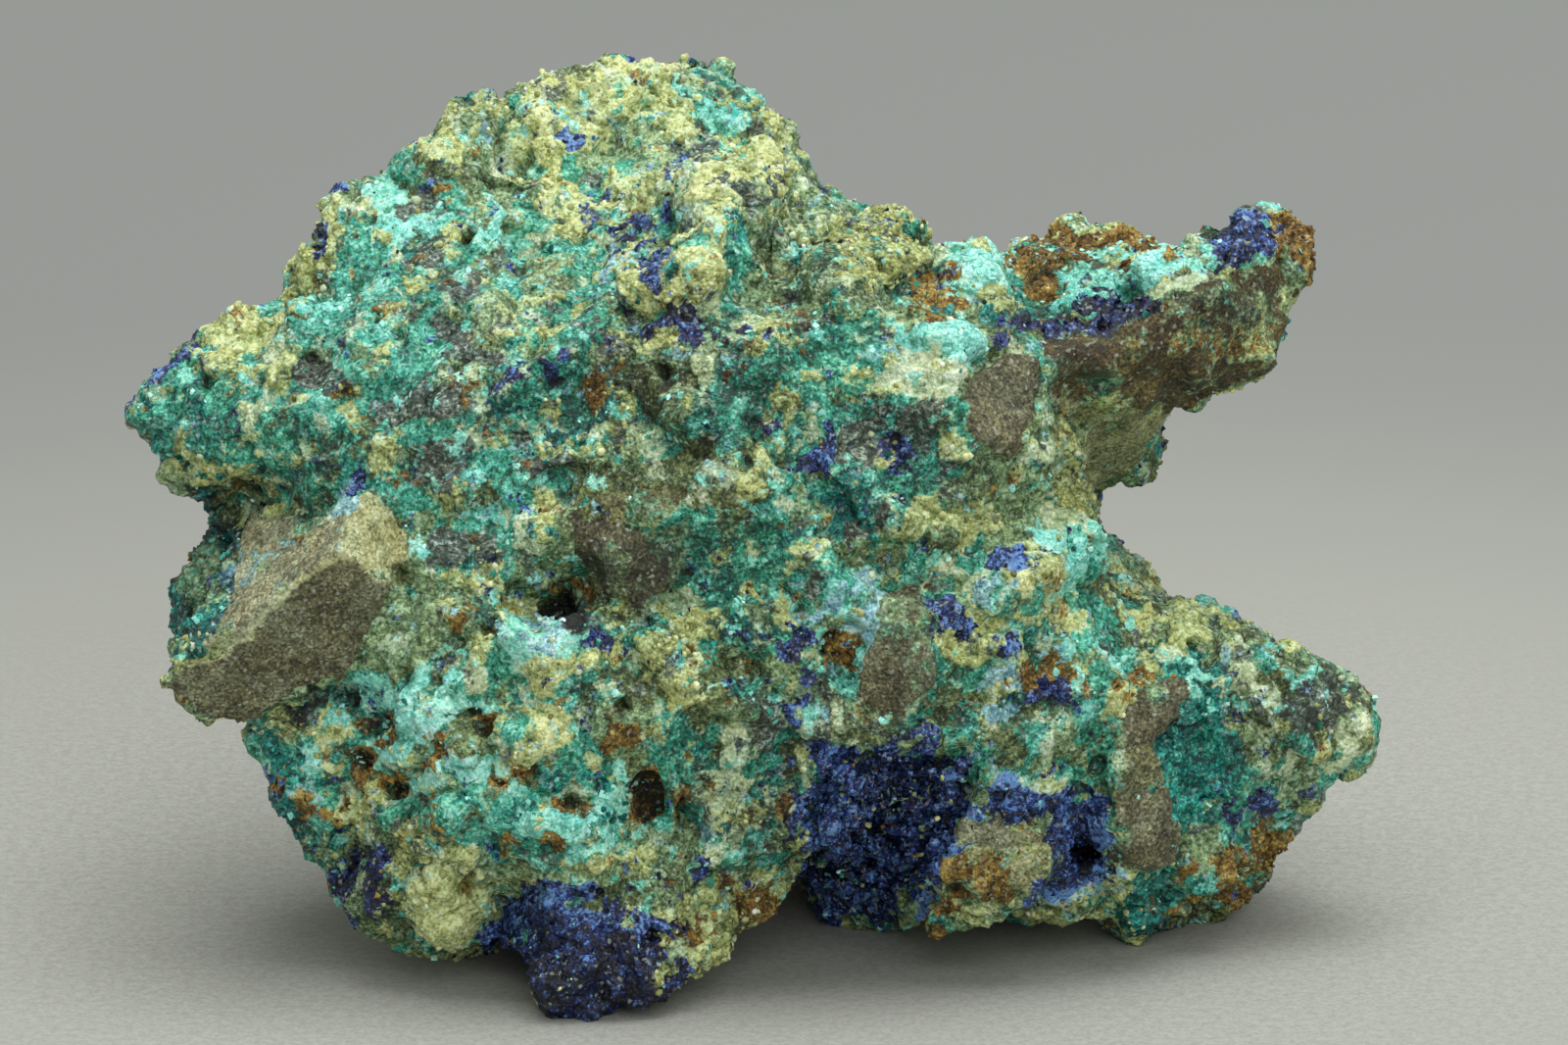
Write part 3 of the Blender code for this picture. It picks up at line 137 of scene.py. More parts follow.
# Ovals: middle x and y, half width, half height, how strongly the mineral shows, and the turn in degrees
# where there is one. A strength over 1 keeps the others out.
OVALS = {
    "teal": dict(
        left_tip=(230, 430, 130, 75, 1, 15), upper_left=(380, 320, 120, 130, 1),
        left_middle=(320, 430, 90, 60, 1.1, 10), upper_middle=(560, 290, 120, 90, 0.6, 10),
        summit_pocket=(715, 110, 60, 45, 0.9), summit_left=(600, 170, 70, 40, 0.5, 30),
        left_centre=(470, 470, 130, 90, 0.8), centre=(760, 470, 140, 110, 0.6),
        centre_dark=(550, 410, 70, 50, 1, -15), right_centre=(900, 480, 110, 80, 1, -20),
        below_arm=(830, 350, 90, 50, 0.9, -10), mid_band=(760, 560, 120, 70, 0.9),
        middle_low=(700, 670, 90, 60, 0.75), low_left=(400, 770, 150, 90, 0.9, 20),
        low_centre=(600, 800, 120, 90, 0.75), low_middle=(740, 740, 90, 120, 0.7),
        left_edge_crystals=(212, 590, 34, 62, 1, 10), left_foot=(290, 800, 60, 60, 1),
        net=(860, 640, 70, 70, 0.9), right_centre_low=(1015, 690, 110, 100, 1),
        right_side=(1100, 640, 90, 90, 0.8), knob=(1080, 560, 40, 32, 1),
        lower_right_tip=(1330, 720, 60, 70, 0.45, -20), arm_lumps=(1050, 290, 120, 26, 1),
        foot_right=(1165, 925, 40, 45, 0.8)),
    "deep": dict(
        pocket=(1215, 775, 46, 92, 1.45), left_edge_crystals=(212, 592, 32, 62, 1.5, 10),
        left_foot=(285, 790, 40, 50, 0.6), arm_hollows=(1060, 325, 100, 16, 0.5, -5),
        arm_root=(960, 300, 26, 26, 0.5), low_centre=(560, 830, 80, 50, 0.35),
        foot_right=(1165, 925, 34, 36, 0.7), centre_dark=(565, 430, 50, 40, 0.6),
        left_tip_low=(200, 450, 60, 50, 0.35), right_centre=(860, 520, 60, 50, 0.4),
        foot_front=(640, 940, 24, 30, 0.4)),
    "turquoise": dict(
        left_low=(370, 750, 60, 40, 0.6), low_mid=(590, 850, 60, 30, 0.4), arm_lump_left=(998, 288, 26, 30, 1),
        arm_lump_right=(1118, 284, 32, 21, 1), arm_lump_tip=(1180, 260, 26, 20, 1, -20),
        arm_lump_end=(1238, 250, 24, 12, 0.9, -15), arm_flakes=(965, 343, 44, 18, 1.2, 10),
        cracked_crust=(390, 706, 42, 20, 1, -5), pit_crust=(545, 655, 55, 24, 0.9),
        low_left_crust=(440, 750, 80, 50, 0.62, 10), knob=(1078, 562, 32, 24, 0.8),
        upper_face=(450, 220, 80, 40, 0.35, 20), summit_pocket=(735, 118, 34, 16, 0.9, 20),
        beside_block=(362, 560, 12, 40, 0.8, 30), net=(865, 640, 38, 44, 0.6),
        lump_by_tall_clast=(1225, 715, 22, 32, 0.6), below_knob=(1110, 690, 40, 26, 0.4),
        left_tip_edge=(200, 372, 26, 14, 0.5, -30), low_ridge=(640, 800, 22, 40, 0.5),
        left_middle=(340, 315, 40, 26, 0.4)),
    "cream": dict(
        tip_crumbs=(262, 338, 66, 26, 1.1, -20), under_tip=(225, 487, 50, 24, 0.7, 20),
        left_edge=(192, 662, 22, 26, 0.8), left_column=(316, 240, 32, 60, 1.15, 15),
        upper_column=(455, 150, 40, 28, 0.8, -20), summit_left=(570, 120, 52, 44, 1),
        summit=(650, 95, 70, 34, 0.95), summit_right=(765, 170, 50, 60, 0.8, 20),
        upper_ridge=(600, 210, 70, 40, 0.6, 10), ridge_crumbs=(690, 285, 48, 30, 1, -15),
        right_crumbs=(890, 262, 46, 28, 0.9, 10), right_middle=(962, 530, 42, 36, 0.9),
        porous=(1050, 590, 38, 30, 0.9), middle=(700, 660, 60, 50, 0.55), low_middle=(560, 730, 70, 50, 0.6),
        low_lens=(465, 872, 28, 28, 1), low_lobe=(455, 925, 42, 50, 1.3),
        left_low_crumbs=(322, 768, 26, 34, 0.9), below_pits=(420, 850, 30, 50, 0.7, -20),
        left_low=(400, 830, 56, 50, 0.55), yellow_foot=(745, 945, 80, 50, 1, -20),
        white_chips=(980, 665, 30, 26, 1), white_chips_right=(1030, 690, 22, 22, 0.9),
        ledge=(1120, 930, 66, 32, 0.8, 8), right_tip=(1270, 650, 50, 24, 0.7, 15),
        right_tip_top=(1180, 620, 46, 20, 0.5, 15), block_edge=(390, 740, 26, 16, 0.3),
        pit_rim=(525, 625, 22, 16, 0.9), upper_left_crumbs=(425, 300, 26, 40, 0.4, 10),
        middle_ridge=(500, 330, 60, 20, 0.5, -10), centre_left=(640, 370, 46, 40, 0.6),
        right_column=(1086, 470, 20, 60, 0.6), right_flank=(1030, 650, 60, 50, 0.6),
        arm_crumbs=(1010, 250, 30, 18, 0.5), arm_front_pale=(1286, 322, 30, 34, 0.55),
        arm_top_pale=(1075, 232, 30, 10, 0.9), arm_under_pale=(1130, 440, 60, 36, 0.4)),
    "azurite": dict(
        hollow=(898, 842, 78, 80, 1.3), hollow_brow=(872, 774, 56, 16, 0.75, -10),
        hollow_left=(842, 800, 28, 40, 0.85), hollow_top=(956, 800, 36, 26, 1, 14),
        hollow_low=(880, 915, 60, 30, 1), wedge=(1040, 818, 54, 16, 1.15, -24),
        wedge_hollow=(1102, 850, 34, 42, 1.25), wedge_low=(1085, 897, 38, 15, 1.1, -28),
        hollow_rim=(972, 862, 12, 52, 1.1, 14), foot=(602, 988, 94, 72, 1.15, 5),
        foot_left=(545, 940, 40, 40, 0.9), foot_top=(580, 920, 60, 14, 0.6), low_left=(375, 895, 32, 46, 0.52),
        band_middle=(712, 333, 62, 20, 0.38, 8), band_ridge=(672, 262, 12, 44, 0.6, 15),
        band_left=(535, 382, 34, 18, 0.45, -25), arm_band=(1120, 321, 90, 18, 1.3, -12),
        arm_tip=(1268, 241, 28, 17, 1.1, -30), column_spot=(328, 249, 15, 13, 1.4),
        column_spot_low=(350, 200, 10, 16, 0.7), summit_spot=(590, 132, 16, 12, 0.7),
        summit_spot_right=(690, 165, 18, 12, 0.6), summit_right=(775, 150, 14, 22, 0.5),
        tip_edge=(172, 372, 30, 6, 0.45, -30), centre_spot=(600, 655, 14, 12, 0.8),
        right_spot=(968, 630, 20, 22, 0.9), right_spot_low=(1075, 716, 22, 18, 0.9),
        right_spot_mid=(1035, 665, 15, 13, 0.6), knob_spot=(1020, 586, 18, 14, 0.9),
        pocket_spot=(1285, 824, 22, 18, 0.9), centre_veins=(830, 470, 18, 40, 0.42, 20),
        centre_veins_right=(905, 460, 20, 34, 0.36, -20), net_veins=(815, 690, 20, 50, 0.5),
        upper_spots=(640, 240, 34, 16, 0.5), block_shadow=(362, 500, 8, 40, 0.8, 20),
        left_foot_spots=(275, 790, 16, 30, 0.4), mid_foot=(700, 880, 16, 24, 0.5)),
    "sky": dict(
        hollow_rim=(978, 862, 7, 44, 0.6, 14), wedge_right=(1136, 858, 8, 40, 0.7, -12),
        ledge_rim=(1100, 912, 44, 6, 0.6, -15), beside_block=(356, 528, 22, 34, 0.8),
        net=(872, 632, 44, 40, 0.8), block_top=(262, 590, 50, 26, 0.75, -45),
        block_top_right=(336, 548, 14, 20, 1), right_low=(1020, 710, 26, 30, 0.7),
        knob=(1015, 600, 20, 16, 0.6), pit=(560, 655, 44, 18, 0.5), upper_rim=(630, 275, 14, 14, 0.5),
        arm_veins=(1090, 335, 60, 8, 0.4, -15), mid_veins=(500, 640, 40, 10, 0.4)),
    "grey": dict(
        face_ridge=(478, 358, 44, 10, 1.15, 14), face_middle=(432, 408, 44, 22, 1.15, 5),
        face_low=(458, 470, 36, 36, 1, -25), face_foot=(488, 560, 40, 26, 1.05),
        face_left=(341, 381, 30, 15, 1.05, 10), spot=(566, 485, 22, 10, 1, 5),
        far_summit=(705, 147, 30, 20, 1.1), upper_a=(430, 212, 32, 22, 0.9), upper_b=(440, 262, 34, 20, 1),
        upper_c=(462, 300, 26, 14, 0.7), middle_a=(542, 465, 14, 12, 0.9),
        right_dark=(905, 455, 60, 34, 0.8, -15), right_dark_low=(875, 520, 40, 26, 0.8, 20),
        centre_low=(640, 580, 54, 30, 0.7), horn=(745, 215, 44, 30, 0.6), low_middle=(775, 740, 34, 24, 0.5),
        right_tip=(1360, 720, 34, 24, 0.6)),
    "quartz": dict(
        below_arm=(945, 376, 46, 28, 1), arm_vein=(1205, 284, 46, 8, 1, -18), arm_end=(1300, 216, 16, 14, 0.9),
        right_column=(1078, 480, 26, 78, 0.6), upper_back=(870, 232, 50, 18, 0.8, 10),
        summit=(520, 175, 26, 16, 0.5), middle=(690, 620, 40, 24, 0.5), tip=(1350, 670, 34, 24, 0.6, 20),
        block_top=(240, 610, 40, 30, 0.6, -45), low_middle=(760, 800, 50, 50, 0.4),
        low_lens=(465, 868, 20, 20, 0.9), lower_face=(520, 700, 60, 30, 0.4),
        white_chip=(985, 645, 20, 18, 0.8), foot=(690, 960, 22, 28, 0.6)),
    "rust": dict(
        pit_o=(632, 754, 28, 12, 0.6, -10), pit_q=(287, 794, 12, 12, 0.7), arm_top_left=(1050, 278, 34, 24, 1),
        arm_top=(1110, 246, 76, 14, 1, 2), arm_top_crumbs=(1060, 236, 40, 12, 0.8),
        arm_tip_ochre=(1318, 245, 22, 36, 1.1, -20), arm_front_ochre=(1190, 345, 50, 26, 0.75, -25),
        arm_top_right=(1145, 240, 26, 12, 0.8, -10), arm_face=(1150, 375, 26, 34, 0.7),
        arm_face_right=(1265, 350, 34, 30, 0.55, -20), arm_root=(965, 300, 26, 20, 0.7),
        underside=(1270, 900, 54, 40, 0.8, -20), saddle=(1004, 905, 36, 24, 1.05),
        foot_ochre=(740, 938, 60, 24, 0.5, -22), mid_upper=(604, 400, 14, 30, 0.4),
        block_streak=(288, 566, 15, 8, 0.8, -40), saddle_left=(965, 940, 16, 18, 0.7),
        pit_rim=(565, 600, 26, 10, 0.6), low_left=(310, 830, 30, 18, 0.4), ring=(850, 655, 15, 13, 0.8),
        summit_streak=(440, 205, 22, 9, 0.5, -30), right_flank=(1075, 690, 24, 26, 0.5),
        tall_clast=(1165, 700, 26, 24, 0.4), foot_top=(730, 915, 34, 16, 0.4, -20)),
    "olive": dict(
        middle=(715, 490, 40, 32, 1.2), mid_upper=(650, 385, 66, 42, 0.8), below_middle=(640, 520, 60, 60, 0.7),
        right_underside=(1230, 930, 60, 30, 0.7), low=(700, 700, 70, 40, 0.5),
        smooth_green=(1092, 450, 20, 60, 0.6), tip=(1300, 730, 60, 40, 0.7), horn=(830, 300, 60, 26, 0.5, 10),
        upper_notch=(450, 180, 26, 40, 0.5, -40), flank=(1130, 600, 50, 20, 0.6, 15)),
    # Painted light, with some paler tone: places made lighter, most of them where light falls, such as the
    # upper face, the summit, the horn, the top of the foot and the rims of the hollow.
    "light": dict(
        hollow_rim=(974, 864, 11, 54, 1, 14), hollow_rim_low=(945, 925, 12, 22, 1, 24),
        wedge_top=(1050, 802, 48, 8, 1, -24), wedge_right=(1132, 858, 11, 44, 1, -10),
        wedge_low=(1092, 905, 46, 9, 1, -18), foot_top=(600, 932, 74, 10, 0.7, 8),
        cream_lobe=(455, 925, 42, 46, 1), rust_pits=(470, 770, 110, 60, 0.6),
        right_flank=(1090, 470, 50, 80, 0.3), arm_specks=(1290, 320, 30, 34, 0.6),
        pocket=(1215, 775, 46, 92, 0.6), under_tip=(215, 487, 50, 24, 0.4, 20), hollow=(898, 842, 70, 60, 0.3),
        left_flank=(320, 430, 60, 50, 0.35), upper_face=(420, 270, 130, 100, 0.5),
        summit=(660, 140, 140, 80, 0.6), left_crust=(400, 790, 130, 110, 0.3),
        below_arm=(930, 360, 80, 40, 0.4), arm_top=(1060, 270, 130, 40, 0.3), horn=(740, 230, 60, 50, 0.35)),
    # Painted shade, with some darker tone: places made darker, such as the underside of the foot, the band
    # under the arm's lumps and the notch beside the block.
    "shade": dict(
        summit_cyan=(725, 125, 60, 50, 0.4), right_crumbs=(890, 265, 60, 36, 0.5),
        left_tip=(230, 430, 100, 50, 0.25), arm_top=(1090, 262, 90, 28, 0.45), foot=(602, 1000, 100, 56, 0.6),
        left_foot=(384, 905, 40, 46, 0.7), low_middle=(780, 800, 40, 60, 0.2),
        upper_face=(430, 260, 90, 60, 0.3), middle=(700, 400, 130, 60, 0.5), centre=(700, 610, 100, 70, 0.5),
        teal_crystals=(212, 585, 44, 60, 1.3), arm_azurite=(1130, 318, 94, 24, 1, -10),
        azurite_band=(712, 333, 66, 24, 0.45, 8), left_column=(316, 250, 30, 60, 0.4, 15),
        yellow_foot=(755, 930, 80, 44, 0.25, -10), right_tip=(1320, 710, 80, 60, 0.4),
        column=(1085, 460, 34, 90, 0.75), left_crystals=(216, 590, 36, 70, 1), ledge=(1120, 930, 70, 30, 0.2)),
    # Dark tone and painted shade: near-black laid in holes and gaps, under the tip, the block and the arm,
    # along the foot's underside, and over dark patches of the face.
    "dark_and_shade": dict(
        middle_left=(550, 415, 60, 44, 0.25, -15), right=(905, 475, 90, 62, 0.35, -15),
        centre=(640, 575, 76, 56, 0.35), pit=(566, 622, 20, 16, 1), pit_low=(575, 632, 14, 12, 1),
        under_tip=(215, 505, 50, 22, 0.2, 20), under_block=(330, 715, 60, 16, 0.6, -10),
        left_crystals=(218, 560, 30, 40, 0.3), arm_spots=(1256, 308, 50, 26, 0.75, -20),
        wedge_hole=(1108, 868, 17, 15, 1), left_underside=(300, 850, 30, 30, 0.5),
        low_middle=(780, 830, 40, 60, 0.4), right_low=(1150, 800, 20, 60, 0.3),
        clast_gap=(960, 735, 60, 14, 0.4), foot=(600, 1010, 90, 30, 0.5),
        arm_root_under=(1120, 500, 30, 20, 0.3)),
}
# Rusty pits: an oval of rust as above, and the half width, half height and depth of the hole in it.
RUSTY_PITS = dict(
    pit_a=(385, 738, 20, 18, 0.9, 18, 16, 0.8), pit_b=(367, 776, 18, 15, 1, 16, 13, 0.9),
    pit_c=(405, 806, 15, 13, 1, 13, 11, 0.8), pit_d=(495, 742, 17, 15, 1, 15, 13, 0.9),
    pit_e=(450, 760, 11, 10, 0.8, 9, 8, 0.5), pit_f=(430, 782, 10, 10, 0.8, 9, 8, 0.5),
    pit_g=(545, 786, 14, 12, 0.8, 12, 10, 0.6), pit_h=(515, 800, 10, 9, 0.8, 9, 8, 0.5),
    pit_i=(580, 820, 11, 10, 0.8, 10, 9, 0.6), pit_j=(560, 866, 11, 9, 0.8, 10, 8, 0.6),
    pit_k=(660, 812, 20, 32, 1, 17, 27, 1.2), pit_l=(698, 828, 11, 18, 0.7, 9, 15, 0.8),
    pit_m=(465, 655, 12, 11, 0.9, 10, 9, 0.5), pit_n=(807, 834, 11, 16, 0.9, 9, 13, 0.7),
    pit_p=(511, 860, 13, 9, 0.8, 11, 8, 0.6))
OVALS["rust"].update({name: oval for name, (*oval, _, _, _) in RUSTY_PITS.items()})
MINERALS = tuple(OVALS)

# Broken faces of the sandy fragments: the kind of stone, how light it is, which is its own tone together with
# painted light and shade (the block's top and side lighter than its front), how strongly other minerals show on
# it, how far it stands out, and its corners.
FACETS = {
    "block_front": ("stone", 0.44, 0.05, 0.0, (
        (352, 560), (400, 600), (385, 630), (372, 650), (350, 690), (300, 705), (265, 735), (205, 735),
        (173, 697), (190, 675), (245, 655), (300, 598))),
    "block_top": ("stone", 0.66, 0.55, 0.0, (
        (252, 525), (352, 528), (350, 560), (300, 598), (245, 655), (208, 670), (236, 614), (244, 570))),
    "block_side": ("tan", 0.62, 0.2, 0.0, (
        (352, 560), (352, 528), (377, 500), (397, 515), (415, 560), (402, 597))),
    "sandy_clast": ("stone", 0.33, 0.2, 0.3, (
        (985, 388), (1022, 362), (1062, 372), (1050, 440), (1030, 470), (985, 440))),
    "dark_clast": ("stone", 0.37, 0.3, 0.25, (
        (885, 655), (905, 600), (948, 592), (952, 650), (950, 700), (920, 728), (872, 722))),
    "centre_clast": ("stone", 0.12, 0.36, 0.05, (
        (582, 530), (612, 522), (655, 545), (700, 528), (708, 565), (690, 600), (652, 622), (604, 604),
        (586, 562))),
    "centre_clast_top": ("tan", 0.24, 0.4, 0.15, (
        (612, 508), (640, 502), (700, 495), (692, 524), (655, 543), (620, 526))),
    "arm_front": ("earth", 0.28, 0.55, 0.0, (
        (1070, 345), (1180, 320), (1235, 285), (1300, 262), (1322, 300), (1312, 380), (1235, 405),
        (1190, 425), (1130, 412), (1065, 400))),
    "arm_under": ("tan", 0.42, 0.4, 0.0, (
        (1065, 400), (1130, 412), (1190, 425), (1190, 445), (1155, 480), (1110, 500), (1090, 440))),
    "tall_clast_top": ("stone", 0.36, 0.3, 0.25, (
        (1143, 728), (1160, 702), (1205, 692), (1218, 706), (1188, 750), (1178, 768), (1140, 765))),
    "tall_clast": ("tan", 0.30, 0.7, 0.1, (
        (1132, 765), (1180, 762), (1188, 796), (1150, 815), (1126, 830))),
    "tall_clast_foot": ("stone", 0.42, 0.45, 0.1, (
        (1150, 815), (1190, 798), (1208, 850), (1198, 888), (1165, 893), (1142, 878), (1128, 835))),
    "saddle_top": ("stone", 0.58, 0.25, 0.15, (
        (975, 838), (1020, 834), (1066, 850), (1060, 862), (1010, 868), (974, 864))),
    "saddle_block": ("tan", 0.56, 0.75, 0.05, (
        (1000, 868), (1060, 862), (1082, 860), (1086, 898), (1050, 912), (1010, 900), (970, 905),
        (972, 880))),
}
STONE_KINDS = ("tan", "earth")
# How many pixels noise shifts the ovals and the broken faces, and how ragged those faces' outlines are.
MINERAL_DRIFT, FACET_DRIFT, FACET_RAGGED = 40, 5, 14
PALE_TINT = 0.82
# Pale crisp edges where two broken faces meet.
PALE_EDGES = (
    ((352, 562), (300, 600), (245, 657), (190, 677)),
    ((352, 562), (402, 600)),
    ((352, 562), (352, 530)),
)

# Holes eaten into the crust: middle x and y, half width, half height, depth.
PITS = dict(
    **{name: (x, y, *hole) for name, (x, y, _, _, _, *hole) in RUSTY_PITS.items()},
    eye=(850, 655, 12, 10, 0.8), middle=(566, 622, 22, 15, 1.6), wedge=(1108, 868, 18, 14, 1.4),
    column=(325, 246, 12, 12, 0.6), low=(475, 905, 16, 12, 0.7))

# Broad swellings and hollows of the face: ovals as above, whose strength is their height.
SWELLS = dict(
    ridge=(605, 335, 120, 14, 0.8, -38), under_ridge=(560, 425, 62, 34, -0.6, -35),
    face_below_ridge=(685, 385, 66, 56, 0.4), horn=(742, 210, 44, 34, 0.9),
    summit_right=(776, 108, 26, 40, 1.1, 20), summit_top=(690, 58, 70, 12, -0.5),
    horn_side=(802, 255, 22, 50, -0.6), band_valley=(672, 262, 14, 40, -0.6, 20),
    ridge_crumbs=(697, 288, 44, 22, 0.8, -15), green_knob=(865, 283, 46, 30, 0.9),
    centre_hollow=(645, 590, 70, 44, -0.6), green_swell=(725, 500, 50, 44, 0.5),
    right_hollow=(900, 470, 84, 44, -0.4, -10), column=(1085, 470, 24, 90, 0.5),
    cream_swell=(955, 530, 44, 32, 0.5), knob=(1080, 562, 38, 30, 1), porous=(1040, 605, 44, 34, 0.4),
    pocket=(1215, 775, 38, 90, -0.9), overhang=(890, 742, 120, 12, 0.6, 5),
    lower_bulge=(480, 790, 120, 80, 0.5), low_gap=(642, 860, 18, 60, -0.5), net=(862, 655, 24, 20, -0.5),
    lens=(462, 868, 28, 18, 0.6), lobe=(455, 930, 42, 40, 0.5), upper_notch=(520, 178, 24, 20, -0.5),
    wing_top=(1250, 650, 110, 14, 0.4, 20), flake_ledge=(965, 345, 46, 12, 0.6, 8),
    arm_lump=(998, 288, 28, 28, 0.5), arm_lump_right=(1120, 292, 40, 22, 0.4))


def oval_weight(places, oval):
    """How far inside an oval each place is: its strength well inside, 0 outside."""
    x, y, half_width, half_height, strength, *turn = oval
    angle = math.radians(turn[0] if turn else 0)
    dx, dy = places[:, 0] - x, places[:, 1] - y
    along = (dx * math.cos(angle) + dy * math.sin(angle)) / half_width
    aside = (dy * math.cos(angle) - dx * math.sin(angle)) / half_height
    return strength * step(-np.hypot(along, aside), -1.5, -0.5)


def path_distance(places, path):
    """How far each place is from a broken line, in pixels."""
    nearest = np.full(len(places), 1e9)
    for (x0, y0), (x1, y1) in zip(path, path[1:]):
        dx, dy = x1 - x0, y1 - y0
        t = np.clip(((places[:, 0] - x0) * dx + (places[:, 1] - y0) * dy) / (dx * dx + dy * dy), 0, 1)
        nearest = np.minimum(nearest, np.hypot(places[:, 0] - x0 - t * dx, places[:, 1] - y0 - t * dy))
    return nearest


def inside_distance(places, corners):
    """How far inside an outline each place is, in pixels, and negative outside."""
    inside = np.zeros(len(places), bool)
    for (x0, y0), (x1, y1) in zip(corners, corners[1:] + corners[:1]):
        spans = (places[:, 1] < y0) != (places[:, 1] < y1)
        crossing = x0 + (places[:, 1] - y0) / ((y1 - y0) or 1e-9) * (x1 - x0)
        inside ^= spans & (places[:, 0] < crossing)
    return np.where(inside, 1, -1) * path_distance(places, corners + corners[:1])


# For each mineral: how wide its blotches are, how soft their edges are, its share of the rock anywhere,
# and its share on the sides that the photograph doesn't show.
BLOTCHES = {
    "olive": (2.2, 0.25, 0.12, 0.25), "teal": (2.4, 0.28, 0.26, 0.42), "deep": (1.5, 0.15, 0.03, 0.12),
    "grey": (1.5, 0.22, 0.05, 0.12), "quartz": (1.3, 0.25, 0.10, 0.12), "cream": (1.7, 0.22, 0.14, 0.34),
    "rust": (1.2, 0.15, 0.012, 0.10), "turquoise": (1.0, 0.18, 0.05, 0.10), "sky": (0.9, 0.12, 0.012, 0.03),
    "azurite": (1.0, 0.10, 0.010, 0.08), "dark_and_shade": (1.2, 0, 0.03, 0.10), "light": (6.0, 0, 0.0, 0.35),
    "shade": (6.0, 0, 0.0, 0.2),
}
# Fields of painted light and shade, kept smooth rather than blotched; the last of them holds dark tone as well.
SMOOTH_FIELDS = ("light", "shade", "dark_and_shade")


def ranked(values):
    """The values' places in order, from 0 to 1, so that a share s of them lies below s."""
    order = np.empty(len(values))
    order[np.argsort(values, kind="stable")] = np.linspace(0, 1, len(values))
    return order


def mineral_fields(points, normals):
    """How much of each mineral lies at each point, 0 to 1, and the sandy faces' share and tint."""
    towards = np.array([0.0, -LEAN_COS, LEAN_SIN])
    front = step(normals @ towards, -0.3, 0.02)
    places = photo_places(points)
    drift = np.stack([layered(points, 3.0, SEED + k, 4) - 0.5 for k in (40, 50)], axis=1)
    warped = places + drift * MINERAL_DRIFT
    fields, purity = {}, {}
    for number, mineral in enumerate(MINERALS):
        width, softness, anywhere, unseen = BLOTCHES[mineral]
        seen = np.full(len(points), anywhere)
        for oval in OVALS[mineral].values():
            seen = np.maximum(seen, oval_weight(warped, oval))
        purity[mineral] = np.clip(2 * (seen - 1), 0, 1) * front
        broad = 2 * unseen * step(layered(points, 8.0, SEED + 60 + 5 * number, 3), 0.25, 0.75)
        share = front * seen + (1 - front) * broad
        if mineral in SMOOTH_FIELDS:
            fields[mineral] = share
        else:
            blotch = ranked(layered(points, width, SEED + 200 + 7 * number, 4))
            fields[mineral] = step(share - blotch, -softness, softness)
    sandy, tint, dust, rise = (np.zeros(len(points)) for _ in range(4))
    kinds = {kind: np.zeros(len(points)) for kind in STONE_KINDS}
    ragged = np.stack([layered(points, 0.9, SEED + 46 + k, 3) - 0.5 for k in (0, 4)], axis=1)
    edge = places + drift * FACET_DRIFT + ragged * FACET_RAGGED
    for stone, lightness, own_dust, own_rise, outline in FACETS.values():
        inside = inside_distance(edge, outline)
        share = step(inside, -2.5, 3) * front
        over = share > sandy
        tint, dust = np.where(over, lightness, tint), np.where(over, own_dust, dust)
        for kind in STONE_KINDS:
            kinds[kind] = np.where(over, float(kind == stone), kinds[kind])
        rise = np.maximum(rise, own_rise * step(inside, -1, 5) * front)
        sandy = np.maximum(sandy, share)
    for path in PALE_EDGES:
        pale = step(-path_distance(edge, path), -7, -2) * front
        tint = np.maximum(tint, PALE_TINT * pale)
        kinds["tan"] = np.maximum(kinds["tan"], pale)
    rest = 1 - sandy * (1 - dust)
    for mineral in MINERALS:
        others = [share for other, share in purity.items() if other != mineral]
        fields[mineral] = fields[mineral] * rest * (1 - np.max(others, axis=0))
    fields.update(kinds, sandy=sandy, brown=tint, rise=rise, front=front)
    return fields


# ---------------------------------------------------------------- colours

# Each mineral's and stone's colours, from dark to light.
PALETTES = {
    "ground": ("#1b2517", "#445638", "#6c855c", "#98b184", "#c2dbb2"),
    "olive": ("#161b0e", "#323c1e", "#56613a", "#7b8856", "#a8b47a"),
    "teal": ("#09302a", "#175848", "#2b8a74", "#53b9a2", "#9be4d0"),
    "deep": ("#03211f", "#083f3c", "#0f655e", "#229c8e", "#5ad2c2"),
    "turquoise": ("#2f8577", "#55b0a1", "#7fd2c3", "#a9ebde", "#cffaf0"),
    "cream": ("#454a24", "#737a46", "#a2a869", "#c6cd8e", "#e4eaba"),
    "azurite": ("#04060f", "#0c1130", "#1b2356", "#2e4690", "#6a94d0"),
    "sky": ("#2f5068", "#4c768a", "#6e9cab", "#97c5cb", "#c6e8ec"),
    "grey": ("#232a24", "#3c453c", "#5a665a", "#84948a", "#c6d4ca"),
    "quartz": ("#66785a", "#8ea37c", "#b2c39b", "#d2dcbc", "#eef2de"),
    "rust": ("#1f1707", "#473514", "#735524", "#9b7d38", "#c6ae6a"),
    "sandy": ("#28271a", "#48462f", "#6b6a4e", "#8f916f", "#c4c9a2"),
    "tan": ("#3c3b22", "#66683f", "#8e9263", "#b0b483", "#d2d8ab"),
    "earth": ("#1f190a", "#3d3418", "#5c5029", "#827647", "#b2aa7c"),
    # The near-black of the last layer: dark tone, and painted shade in holes, gaps and under overhangs.
    "dark_and_shade": ("#060906", "#10160f", "#1c251b", "#2d392a", "#45543f"),
}


def linear(code):
    """Linear red, green and blue of a colour code."""
    parts = np.array([int(code[i:i + 2], 16) / 255 for i in (1, 3, 5)])
    return np.where(parts <= 0.04045, parts / 12.92, ((parts + 0.055) / 1.055) ** 2.4)


